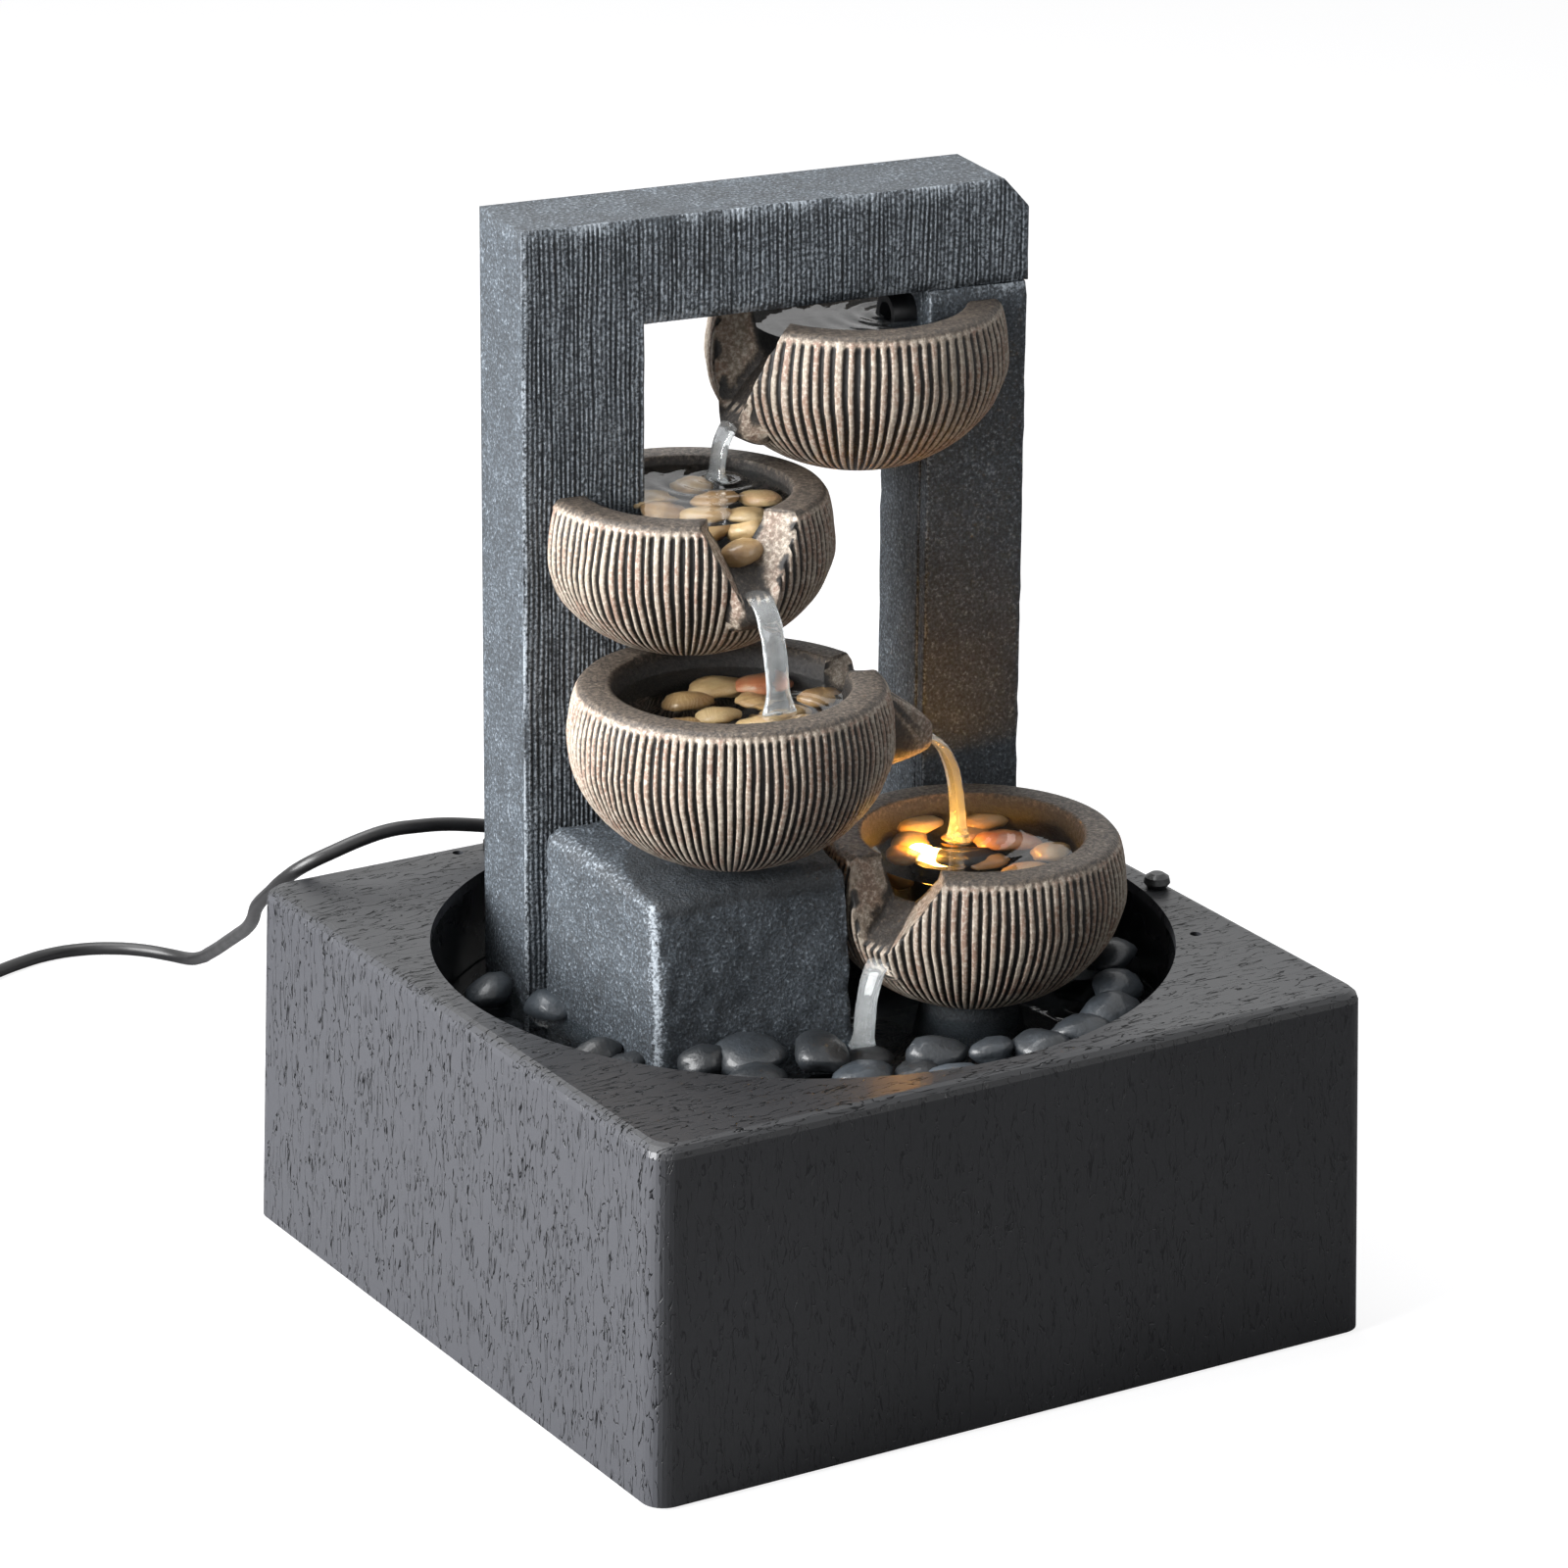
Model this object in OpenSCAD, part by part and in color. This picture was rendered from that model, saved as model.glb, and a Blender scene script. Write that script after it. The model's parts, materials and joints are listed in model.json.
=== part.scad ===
/* [Base] */
// Side of the square deck
deck_side = 210; // [205:1:220]
// Side of the base where it meets the table
foot_side = 214; // [212:1:224]
// Height of the deck above the table
deck_z = 95; // [90:1:100]
// Radius of the round well in the deck
well_r = 97; // [94:1:98]
// Height of the well floor above the table
well_floor_z = 50; // [46:1:54]
// Wall thickness of the base moulding
base_wall = 3; // [2.5:0.5:3]

/* [Tower] */
// Turn of the tower about the vertical, in degrees
tower_turn = -6.5; // [-10:0.5:0]
// Height of the top of the arch above the table
arch_top_z = 280; // [270:1:290]
// Height of the underside of the beam
beam_z = 252; // [251:1:254]
// Depth of the arch from front to back
arch_depth = 29; // [28:1:30]
// Width of the left column
left_w = 34; // [30:1:36]
// Width of the right column
right_w = 29; // [28:1:30]
// Height of the rock plinth's top
plinth_z = 120; // [119:1:120]

/* [Pump] */
// Radius of the sump under the plinth
sump_r = 28; // [28:0.5:29]
// Radius of the impeller blades
blade_r = 10.5; // [9:0.5:10.5]
// Radius of the impeller shaft
shaft_r = 1; // [0.8:0.1:1]
// Outer radius of the riser hose
hose_r = 6.4; // [6.2:0.1:6.5]

/* [Cord] */
// Diameter of the power cord
cord_d = 3.8; // [3.4:0.2:3.8]
// Mean radius of the stored coil
coil_r = 22.5; // [22:0.5:24]

/* [Hidden] */
$fn = 64;
gap = 0.3;
arch_x = -60.5;
arch_y = 42;
right_x = 54.5;
arch_end_x = right_x + right_w;
arch_back_y = arch_y + arch_depth;
foot_r = 94;
foot_top_z = 96;
reservoir_wall = 2.2;
reservoir_top_z = deck_z - base_wall;
sump_x = -8;
sump_y = 46;
sump_floor_z = 10;

// Pump casing, with its chamber facing the back
pump_x = sump_x;
pump_front_y = 31;
pump_back_y = 59;
pump_half_w = 16;
pump_z = 14;
pump_top_z = 40;
shaft_z = 27;
chamber_r = 12;
chamber_depth = 10;
magnet_r = 6;
spigot_y = 55;
spigot_r = 4.5;
cover_half_w = 14;
cover_t = 3;

// Riser hose: up from the pump, along the foot, up the right column
hose_bend = 14;
hose_low_z = 80;
hose_up_x = 69;
hose_out_z = 243;
hose_y = 55;

// Bowls: [x, y, rim height, widest radius, height, spout angle, lip radius, lip drop, notch half width]
bowl_one_at = [41, 56, 248, 40, 42.5, 188.5, 40, 28, 20];
bowl_two_at = [-16, 39, 208.5, 38.5, 41.3, 274.5, 39.5, 24, 22];
bowl_three_at = [-20, 2, 167, 42.2, 46, 3.5, 57, 24, 14];
bowl_four_at = [47, -4, 118.5, 40.5, 44, 203.5, 36.5, 26, 22];
rim_step = 2.6;
rim_w = 9;
bowl_foot_r = 15;
bowl_wide_drop = 14;
cavity_depth = 32;
stand_r = 13;

// Light in the fourth bowl
puck_x = bowl_four_at[0] - 6;
puck_y = bowl_four_at[1] + 4;
puck_z = 98;
puck_r = 9;

// Cord route, from the gland over the back edge and down to the table
cord_route = [
    [-38, 98.5, 101], [-44, 99.5, 102.2], [-52, 100, 103.7], [-60, 100, 104.6], [-68, 100.5, 104.8],
    [-76, 101, 103.6], [-84, 102.5, 101], [-91, 106, 97.2], [-93.5, 113, 91.5], [-92.5, 123, 84.5],
    [-89, 138, 75], [-82, 155, 64], [-74, 175, 53], [-66, 197, 42], [-58, 220, 30.5],
    [-51, 240, 20.5], [-46, 256, 12.5], [-43, 268, 6.5], [-42.5, 277, 3], [-45, 285, 2],
    [-50, 292, 2], [-57, 298, 2], [-66, 302, 2], [-76, 303, 2], [-86, 301, 2],
    [-96, 297.5, 2], [-106, 293.5, 2], [-117, 290, 2]];
clip_start = [-29.5, 93.5, 99.4];
clip_end = [-38, 98.5, 101];
clip_pad = [-36, 99];
coil_x = -125;
coil_y = 311.5;
coil_half = 5.7;
// Lead from the pump up the back of the well to the clip, in the turned frame
lead_route = [
    [-19, 49, 39.8], [-19, 49.5, 45], [-19.2, 52.5, 50], [-19.6, 57.5, 53.2], [-20, 64, 54.6],
    [-21.5, 70, 55.2], [-24.5, 76, 56], [-28.5, 81, 58.5], [-32, 84, 63.5], [-34.5, 85.3, 70],
    [-36, 85.5, 77], [-36.5, 85, 84], [-36.8, 85.3, 90], [-37.4, 86.3, 95], [-38.4, 87.8, 98.2]];
adaptor_x = -182;
adaptor_y = 289;
adaptor_l = 46;
adaptor_w = 30;
adaptor_h = 26;

// Places a part in the turned frame that the tower and the pump share
module turned() { rotate([0, 0, tower_turn]) children(); }

module box_from(low, high) { translate(low) cube(high - low); }

// Square with rounded corners
module round_square(side, r, z, t) {
    translate([0, 0, z]) linear_extrude(t) hull()
        for (x = [-1, 1], y = [-1, 1])
            translate([x * (side / 2 - r), y * (side / 2 - r)]) circle(r, $fn = 32);
}

// Tapered block between two rounded squares, with a softened top edge
module taper_block(low_side, high_side, r, z0, z1, soft) {
    hull() {
        round_square(low_side, r, z0, 0.1);
        for (a = [0, 30, 60, 90])
            round_square(high_side - 2 * soft * (1 - cos(a)), r, z1 - soft + soft * sin(a) - 0.1, 0.1);
    }
}

// Water-worn stone, flat below and domed above
module pebble(r, h) {
    rotate_extrude($fn = 24) polygon([[0, 0], [r * 0.7, 0], [r, h * 0.35], [r * 0.9, h * 0.75],
        [r * 0.5, h], [0, h]]);
}

// Tube swept along points, closed at both ends
function direction(pts, i) = let (a = pts[max(i - 1, 0)], b = pts[min(i + 1, len(pts) - 1)])
    (b - a) / norm(b - a);
function side_of(t, up) = let (s = cross(t, up)) s / norm(s);
module swept_tube(pts, d, sides, up = [0, 0, 1]) {
    rings = [for (i = [0:len(pts) - 1]) let (t = direction(pts, i), s = side_of(t, up), u = cross(s, t))
        for (k = [0:sides - 1]) pts[i] + d / 2 * (cos(360 * k / sides) * s + sin(360 * k / sides) * u)];
    last = (len(pts) - 1) * sides;
    polyhedron(rings, concat(
        [[for (k = [0:sides - 1]) k]],
        [for (i = [0:len(pts) - 2], k = [0:sides - 1]) let (n = (k + 1) % sides, o = i * sides)
            [o + k, o + sides + k, o + sides + n, o + n]],
        [[for (k = [sides - 1:-1:0]) last + k]]));
}

module base_housing() {
    color("#3c3d40") difference() {
        union() {
            difference() {
                taper_block(foot_side, deck_side, 6, 0.8, deck_z, 3);
                taper_block(foot_side - 2 * base_wall, deck_side - 2 * base_wall, 4,
                    -1, deck_z - base_wall, 1);
            }
            for (x = [-1, 1], y = [-1, 1])
                translate([x * 93, y * 93, 3]) cylinder(r = 7.5, h = deck_z - base_wall - 2.5);
        }
        translate([0, 0, deck_z - base_wall - 5]) cylinder(r = well_r, h = 10, $fn = 180);
        for (p = [[89.4, -50.1], [-48, 99.4]])
            translate([p[0], p[1], deck_z - 6]) cylinder(r = 1.5, h = 10);
    }
}

module reservoir() {
    color("#1d1e20") difference() {
        translate([0, 0, well_floor_z - 2.5])
            cylinder(r = well_r + reservoir_wall, h = reservoir_top_z - well_floor_z + 2.5, $fn = 180);
        translate([0, 0, well_floor_z]) cylinder(r = well_r, h = 50, $fn = 180);
        turned() translate([sump_x, sump_y, well_floor_z - 10]) cylinder(r = sump_r, h = 60);
    }
}

// Cup for the pump, bonded under the hole in the well floor
module sump_cup() {
    color("#1d1e20") turned() translate([sump_x, sump_y, sump_floor_z - 2]) difference() {
        cylinder(r = sump_r + 2, h = well_floor_z - 2.5 - sump_floor_z + 2);
        translate([0, 0, 2]) cylinder(r = sump_r, h = 60);
    }
}

module rubber_feet() {
    color("#2b2b2b") for (x = [-1, 1], y = [-1, 1])
        translate([x * 93, y * 93, 0]) cylinder(r = 7, h = 3);
}

module deck_pebble() {
    color("#26272a") translate([100.2, -16.4, deck_z]) pebble(3.6, 4);
}

// Stones on the well floor: [distance, angle, radius, layer]
basin_stones = [
    [88, 196, 8, 0], [86, 210, 8.5, 0], [89, 223, 7.5, 0], [84, 236, 8, 0], [88, 249, 8.5, 0],
    [70, 226, 8, 0], [68, 246, 8.5, 0], [86, 262, 8, 0], [88, 275, 8.5, 0], [87, 288, 8, 0],
    [88, 301, 8.5, 0], [86, 315, 8, 0], [88, 329, 8.5, 0], [86, 342, 8, 0], [88, 355, 8.5, 0],
    [66, 266, 8, 0], [66, 283, 8.5, 0], [68, 300, 8, 0], [86, 8, 8, 0], [47, 262, 8.5, 0],
    [80, 204, 7.5, 1], [80, 244, 7.5, 1], [82, 269, 8, 1], [76, 284, 7.5, 1], [80, 308, 8, 1],
    [82, 322, 7.5, 1], [82, 336, 8, 1], [82, 349, 7.5, 1], [62, 257, 7.5, 1], [62, 275, 7.5, 1],
    [64, 292, 7.5, 1]];
module basin_pebbles() {
    color("#34363a") for (s = basin_stones)
        rotate([0, 0, s[1]]) translate([s[0], 0, well_floor_z + 0.2 + s[3] * 12]) pebble(s[2], 11);
}

module pump_body() {
    color("#202124") turned() difference() {
        union() {
            box_from([pump_x - pump_half_w, pump_front_y, pump_z], [pump_x + pump_half_w, pump_back_y, pump_top_z]);
            translate([pump_x, spigot_y, pump_top_z - 1]) cylinder(r = spigot_r, h = 13);
        }
        translate([pump_x, pump_back_y + 1, shaft_z]) rotate([90, 0, 0])
            cylinder(r = chamber_r, h = chamber_depth + 1);
        translate([pump_x, pump_back_y, shaft_z]) rotate([90, 0, 0])
            cylinder(r = magnet_r + 0.6, h = chamber_depth + 14);
        translate([pump_x, pump_back_y, shaft_z]) rotate([90, 0, 0])
            cylinder(r = shaft_r, h = chamber_depth + 17, $fn = 32);
        translate([pump_x, spigot_y, shaft_z]) cylinder(r = 3, h = 40);
    }
}

module pump_cover() {
    color("#27282b") turned() difference() {
        union() {
            box_from([pump_x - cover_half_w, pump_back_y + gap, pump_z + 1.5],
                [pump_x + cover_half_w, pump_back_y + gap + cover_t, pump_top_z - 1.5]);
            for (s = [-1, 1]) box_from([pump_x - 13, pump_back_y + cover_t, shaft_z + 8.5 * s - 0.7],
                [pump_x + 6, pump_back_y + cover_t + 2.2, shaft_z + 8.5 * s + 0.7]);
        }
        for (k = [-3:3]) box_from([pump_x + k * 3.4 - 0.8, pump_back_y - 1, shaft_z - 5],
            [pump_x + k * 3.4 + 0.8, pump_back_y + 6, shaft_z + 5]);
    }
}

module flow_regulator() {
    color("#55575c") turned() {
        box_from([pump_x - 12, pump_back_y + gap + cover_t + gap, shaft_z - 7.2],
            [pump_x - 3, pump_back_y + gap + cover_t + gap + 1.4, shaft_z + 7.2]);
        box_from([pump_x - 8.5, pump_back_y + gap + cover_t + gap + 1.4, shaft_z - 3],
            [pump_x - 6.5, pump_back_y + gap + cover_t + gap + 2.6, shaft_z + 3]);
    }
}

module impeller() {
    color("#e8e8e4") turned() translate([pump_x, pump_back_y - 1, shaft_z]) rotate([90, 0, 0]) difference() {
        union() {
            cylinder(r = magnet_r, h = 20);
            translate([0, 0, 6]) cylinder(r = 8, h = 1.6);
            for (a = [0:60:300]) rotate([0, 0, a]) box_from([0, -0.7, 0.4], [blade_r, 0.7, 7]);
        }
        translate([0, 0, -1]) cylinder(r = shaft_r + 0.05, h = 40, $fn = 32);
    }
}

module impeller_shaft() {
    color("#f2f2f0") turned() translate([pump_x, pump_back_y - 0.6, shaft_z]) rotate([90, 0, 0])
        cylinder(r = shaft_r, h = 26.4, $fn = 32);
}

module suction_cups() {
    color("#3a3a3a") turned() for (x = [-1, 1], y = [-1, 1])
        translate([pump_x + x * 10, (pump_front_y + pump_back_y) / 2 + y * 8, sump_floor_z])
            rotate_extrude($fn = 32) polygon([[0, 0], [5, 0], [5, 0.8], [2, 2.4], [2, 4], [0, 4]]);
}

module pump_lead() { color("#1a1a1a") turned() swept_tube(lead_route, cord_d, 8, [1, 0, 0]); }

// Boot that holds the lead on the deck where it comes up over the well's edge
module cord_clip() {
    run = clip_end - clip_start;
    color("#161616") {
        hull() {
            translate([clip_pad[0], clip_pad[1], deck_z]) cylinder(r = 4, h = 1.4, $fn = 32);
            translate((clip_start + clip_end) / 2) sphere(r = 3, $fn = 16);
        }
        translate(clip_start) rotate([0, acos(run[2] / norm(run)), atan2(run[1], run[0])])
            cylinder(r1 = 3.2, r2 = 2.4, h = norm(run), $fn = 32);
    }
}

module power_cord() { color("#161616") swept_tube(cord_route, cord_d, 8); }

module cord_coil() {
    color("#161616") translate([coil_x, coil_y, coil_half]) rotate_extrude()
        translate([coil_r, 0]) circle(coil_half, $fn = 24);
}

module coil_tie() {
    color("#202020") translate([coil_x + coil_r, coil_y, coil_half]) rotate([90, 0, 0])
        difference() {
            cylinder(r = coil_half + 1.2, h = 3, center = true);
            cylinder(r = coil_half, h = 4, center = true);
            box_from([-9, -9, -3], [9, -coil_half + 0.1, 3]);
        }
}

module adaptor_relief() {
    color("#161616") translate([adaptor_x + adaptor_l / 2, adaptor_y, 8]) rotate([0, 90, 0])
        cylinder(r1 = 4, r2 = 2.4, h = 16);
}

module adaptor_body() {
    color("#1b1b1d") translate([adaptor_x, adaptor_y, 0]) hull()
        for (x = [-1, 1], y = [-1, 1]) translate([x * (adaptor_l / 2 - 5), y * (adaptor_w / 2 - 5), 0]) {
            cylinder(r = 5, h = adaptor_h - 4, $fn = 32);
            cylinder(r = 3, h = adaptor_h - 2, $fn = 32);
        }
}

module adaptor_face() {
    color("#232325") translate([adaptor_x, adaptor_y, adaptor_h - 2]) hull()
        for (x = [-1, 1], y = [-1, 1]) translate([x * (adaptor_l / 2 - 8), y * (adaptor_w / 2 - 8), 0])
            cylinder(r = 3, h = 2, $fn = 32);
}

module plug_pins() {
    color("#c9b27a") for (y = [-6.35, 6.35])
        box_from([adaptor_x - 8, adaptor_y + y - 0.75, adaptor_h], [adaptor_x - 1.7, adaptor_y + y + 0.75, adaptor_h + 16]);
}

// Room for the riser hose through the tower
module hose_path(r) {
    translate([pump_x, hose_y, 45]) cylinder(r = r, h = hose_low_z - hose_bend - 45);
    translate([pump_x + hose_bend, hose_y, hose_low_z - hose_bend]) rotate([90, 0, 0])
        rotate([0, 0, 90]) rotate_extrude(angle = 90) translate([hose_bend, 0]) circle(r);
    translate([pump_x + hose_bend, hose_y, hose_low_z]) rotate([0, 90, 0])
        cylinder(r = r, h = hose_up_x - pump_x - 2 * hose_bend);
    translate([hose_up_x - hose_bend, hose_y, hose_low_z + hose_bend]) rotate([90, 0, 0])
        rotate([0, 0, -90]) rotate_extrude(angle = 90) translate([hose_bend, 0]) circle(r);
    translate([hose_up_x, hose_y, hose_low_z + hose_bend])
        cylinder(r = r, h = hose_out_z - hose_low_z - 2 * hose_bend);
    translate([hose_up_x - hose_bend, hose_y, hose_out_z - hose_bend]) rotate([90, 0, 0])
        rotate_extrude(angle = 90) translate([hose_bend, 0]) circle(r);
}

// The part of the tower that must pass down through the well
module well_limit() {
    rotate([0, 0, -tower_turn]) cylinder(r = foot_r, h = foot_top_z, $fn = 180);
    box_from([-120, -120, foot_top_z], [120, 120, 300]);
}

module arch_slab() {
    color("#59636b") turned() intersection() {
        difference() {
            box_from([arch_x, arch_y, well_floor_z + 0.5], [arch_end_x, arch_back_y, arch_top_z]);
            box_from([arch_x + left_w, arch_y - 1, well_floor_z - 1], [arch_end_x + 1, arch_back_y + 1, beam_z]);
            translate([arch_end_x - 8.5, arch_y - 1, arch_top_z + 2]) rotate([0, 48, 0])
                cube([20, arch_depth + 2, 20]);
        }
        well_limit();
    }
}

module column_block(y0, y1) {
    turned() intersection() {
        difference() {
            box_from([right_x, y0, well_floor_z + 0.5], [arch_end_x, y1, beam_z]);
            hose_path(hose_r + 0.2);
            translate([right_x - 1, hose_y, hose_out_z]) rotate([0, 90, 0]) cylinder(r = hose_r + 0.2, h = 2);
        }
        well_limit();
    }
}

module right_column() { color("#59636b") column_block(arch_y + 5, arch_back_y); }

module column_cover() { color("#616b73") column_block(arch_y, arch_y + 5); }

module tower_foot() {
    color("#4a5258") turned() difference() {
        box_from([arch_x + left_w, arch_y, well_floor_z + 0.5], [right_x, arch_back_y, foot_top_z]);
        box_from([arch_x + left_w + 2, arch_y + 3, well_floor_z - 1], [right_x - 6, arch_back_y - 3, foot_top_z - 5]);
        box_from([arch_x + left_w + 2, arch_back_y - 4, well_floor_z - 1], [-16, arch_back_y + 1, 60]);
        hose_path(hose_r + 0.2);
    }
}

module plinth() {
    color("#4e565d") turned() difference() {
        hull() {
            linear_extrude(1) plinth_plan(1.03);
            translate([0, 0, plinth_z - 3]) linear_extrude(1) plinth_plan(1);
            translate([0, 0, plinth_z - 1]) linear_extrude(1) plinth_plan(0.96);
        }
        box_from([-70, -40, -1], [60, 60, well_floor_z + 0.5]);
        box_from([-35, -4, well_floor_z - 1], [2, arch_y - 6, plinth_z - 10]);
        translate([bowl_four_at[0], bowl_four_at[1], bowl_four_at[2] - bowl_four_at[4] - 1])
            cylinder(r = bowl_four_at[3] + 1, h = 80);
        translate([bowl_four_at[0], bowl_four_at[1], well_floor_z - 1]) cylinder(r = stand_r + 2.2, h = 40);
    }
}

// Outline of the rock plinth, its front left corner a sharp ridge
module plinth_plan(k) {
    translate([-17, arch_y]) scale([k, k]) polygon([[-39, 0], [-30, -53], [-28.5, -55], [22, -51],
        [27, -45], [28, 0]]);
}

module bowl_stand() {
    color("#3d4247") turned() translate([bowl_four_at[0], bowl_four_at[1], well_floor_z + 0.5])
        cylinder(r1 = stand_r + 2, r2 = stand_r, h = bowl_four_at[2] - bowl_four_at[4] - well_floor_z - 0.5);
}

// Outer outline of a bowl from the foot up to the rim, about its own axis
function bowl_outline(b) = let (low = b[4] - bowl_wide_drop, a0 = acos(bowl_foot_r / b[3]))
    concat([[0, -b[4]]],
        [for (i = [0:10]) let (a = a0 * (1 - i / 10))
            [b[3] * cos(a), -bowl_wide_drop - low * sin(a) / sin(a0)]],
        [[b[3] - 0.5, -bowl_wide_drop / 2], [b[3] - rim_step, 0]]);

// Sloping chute through the wall, wide at the rim and narrow at the lip
module chute(b) {
    rotate([0, 0, b[5]]) hull() {
        translate([21, 0, 0]) rotate([90, 0, 90]) linear_extrude(0.2)
            polygon([[-4.5, 4], [4.5, 4], [3, -6], [-3, -6]]);
        translate([max(b[6], b[3]) + 1, 0, 0]) rotate([90, 0, 90]) linear_extrude(0.2)
            polygon([[-b[8], 4], [b[8], 4], [4, -b[7]], [-4, -b[7]]]);
    }
}

module spout_block(b) {
    rotate([0, 0, b[5]]) hull() {
        translate([b[3] - 12, -12, -b[7] + 2]) cube([4, 24, b[7] - 3]);
        translate([b[3] - 10, -5, -b[7] - 6]) cube([4, 10, 4]);
        translate([b[6] - 1.5, -5.5, -b[7] - 2]) cube([1.5, 11, min(9, b[7])]);
    }
}

module bowl_shape(b) {
    translate([b[0], b[1], b[2]]) difference() {
        union() {
            rotate_extrude($fn = 128) polygon(concat(bowl_outline(b), [[0, 0]]));
            spout_block(b);
        }
        rotate_extrude($fn = 128) intersection() {
            scale([1, cavity_depth / (b[3] - rim_step - rim_w)]) circle(b[3] - rim_step - rim_w);
            translate([0, -50]) square([50, 50]);
        }
        chute(b);
    }
}

module column_space() {
    box_from([arch_x - 10, arch_y, 60], [arch_x + left_w, arch_back_y, 300]);
    box_from([right_x, arch_y, 100], [arch_end_x, arch_back_y, 300]);
}

module bowl_one() { color("#8d8072") turned() difference() { bowl_shape(bowl_one_at); column_space(); } }
module bowl_two() { color("#8d8072") turned() difference() { bowl_shape(bowl_two_at); column_space(); } }
module bowl_three() { color("#8d8072") turned() difference() { bowl_shape(bowl_three_at); column_space(); } }
module bowl_four() { color("#8d8072") turned() bowl_shape(bowl_four_at); }

module riser_hose() {
    color("#b9bfc2") turned() difference() { hose_path(hose_r); hose_path(hose_r - 1.6); }
}

module outlet_nozzle() {
    color("#1c1d1f") turned() translate([right_x + 0.5, hose_y, hose_out_z]) rotate([0, -90, 0]) difference() {
        cylinder(r = 5.5, h = 7);
        translate([0, 0, -1]) cylinder(r = 3.6, h = 10);
    }
}

module led_housing() {
    color("#17181a") turned() translate([puck_x, puck_y, puck_z]) difference() {
        cylinder(r = puck_r, h = 8);
        translate([0, 0, 2]) cylinder(r = puck_r - 2, h = 8);
    }
}

module led_lens() {
    color("#ffd98a") turned() translate([puck_x, puck_y, puck_z + 5]) cylinder(r = puck_r - 2, h = 2.4);
}

module led_board() {
    color("#e8e2c8") turned() translate([puck_x, puck_y, puck_z + 2]) {
        cylinder(r = puck_r - 2.6, h = 1);
        for (a = [0:120:240]) rotate([0, 0, a]) translate([3, -1, 1]) cube([2, 2, 0.8]);
    }
}

// Short lead from the light down to the floor of its bowl
module led_lead() {
    color("#17181a") turned() translate([puck_x, puck_y, bowl_four_at[2] - cavity_depth + 1.5])
        cylinder(r = 1.5, h = puck_z - bowl_four_at[2] + cavity_depth - 1.5);
}

// Stones in a bowl: four on its floor and a wider ring of them on top
module bowl_stones(b, count, ring, start) {
    translate([b[0], b[1], b[2] - 20]) for (k = [0:count - 1])
        rotate([0, 0, start + 360 * k / count]) translate([ring, 0, 0]) pebble(5.5, 7);
    translate([b[0], b[1], b[2] - 27.5]) for (a = [0:90:270])
        rotate([0, 0, start + a]) translate([8, 0, 0]) pebble(5.2, 7);
}

module pebbles_two() {
    color("#a98a5f") turned() difference() {
        bowl_stones(bowl_two_at, 6, 13, 20);
        column_space();
    }
}
module pebbles_three() { color("#a98a5f") turned() bowl_stones(bowl_three_at, 8, 17, 10); }
module pebbles_four() {
    color("#a98a5f") turned() intersection() {
        bowl_stones(bowl_four_at, 8, 17.5, 0);
        difference() {
            box_from([-20, -60, 60], [100, 60, 130]);
            translate([puck_x, puck_y, 60]) cylinder(r = puck_r + 3, h = 80);
        }
    }
}

base_housing();
reservoir();
sump_cup();
rubber_feet();
deck_pebble();
basin_pebbles();
pump_body();
pump_cover();
flow_regulator();
impeller();
impeller_shaft();
suction_cups();
pump_lead();
cord_clip();
power_cord();
cord_coil();
coil_tie();
adaptor_relief();
adaptor_body();
adaptor_face();
plug_pins();
arch_slab();
right_column();
column_cover();
tower_foot();
plinth();
bowl_stand();
bowl_one();
bowl_two();
bowl_three();
bowl_four();
riser_hose();
outlet_nozzle();
led_housing();
led_lens();
led_board();
led_lead();
pebbles_two();
pebbles_three();
pebbles_four();
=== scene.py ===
# Tabletop water fountain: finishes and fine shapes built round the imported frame.
import json
import math
import random
from functools import partial

import bmesh
import bpy
from mathutils import Matrix, Vector, noise


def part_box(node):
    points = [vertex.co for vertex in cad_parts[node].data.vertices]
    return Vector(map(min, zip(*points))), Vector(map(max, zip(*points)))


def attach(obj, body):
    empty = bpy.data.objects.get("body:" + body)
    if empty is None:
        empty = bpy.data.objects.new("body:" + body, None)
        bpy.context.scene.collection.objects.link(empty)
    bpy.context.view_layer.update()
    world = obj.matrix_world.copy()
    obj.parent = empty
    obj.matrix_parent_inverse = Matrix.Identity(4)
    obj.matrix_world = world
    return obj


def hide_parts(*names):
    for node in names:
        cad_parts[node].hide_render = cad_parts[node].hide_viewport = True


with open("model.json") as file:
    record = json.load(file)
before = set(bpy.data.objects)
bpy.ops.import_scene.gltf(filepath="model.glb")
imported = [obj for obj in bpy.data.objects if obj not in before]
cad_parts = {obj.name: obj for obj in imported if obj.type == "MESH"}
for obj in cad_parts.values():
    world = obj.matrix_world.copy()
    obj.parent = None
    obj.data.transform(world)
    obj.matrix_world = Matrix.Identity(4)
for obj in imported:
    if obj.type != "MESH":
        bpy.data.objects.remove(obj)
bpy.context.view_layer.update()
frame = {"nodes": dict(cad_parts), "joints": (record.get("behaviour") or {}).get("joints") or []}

mm = 0.001
jointOf = {joint["name"]: joint for joint in frame["joints"]}
pumpAxis = Vector(jointOf["impeller_spin"]["axis"])
towerTurn = -math.atan2(pumpAxis.x, pumpAxis.y)  # the tower and the pump share this turn
turnMatrix = Matrix.Rotation(towerTurn, 4, "Z")
unturnMatrix = Matrix.Rotation(-towerTurn, 4, "Z")


def toLinear(hexText):
    channels = [int(hexText[i:i + 2], 16) / 255 for i in (1, 3, 5)]
    return [c / 12.92 if c <= 0.04045 else ((c + 0.055) / 1.055) ** 2.4 for c in channels] + [1]


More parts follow.
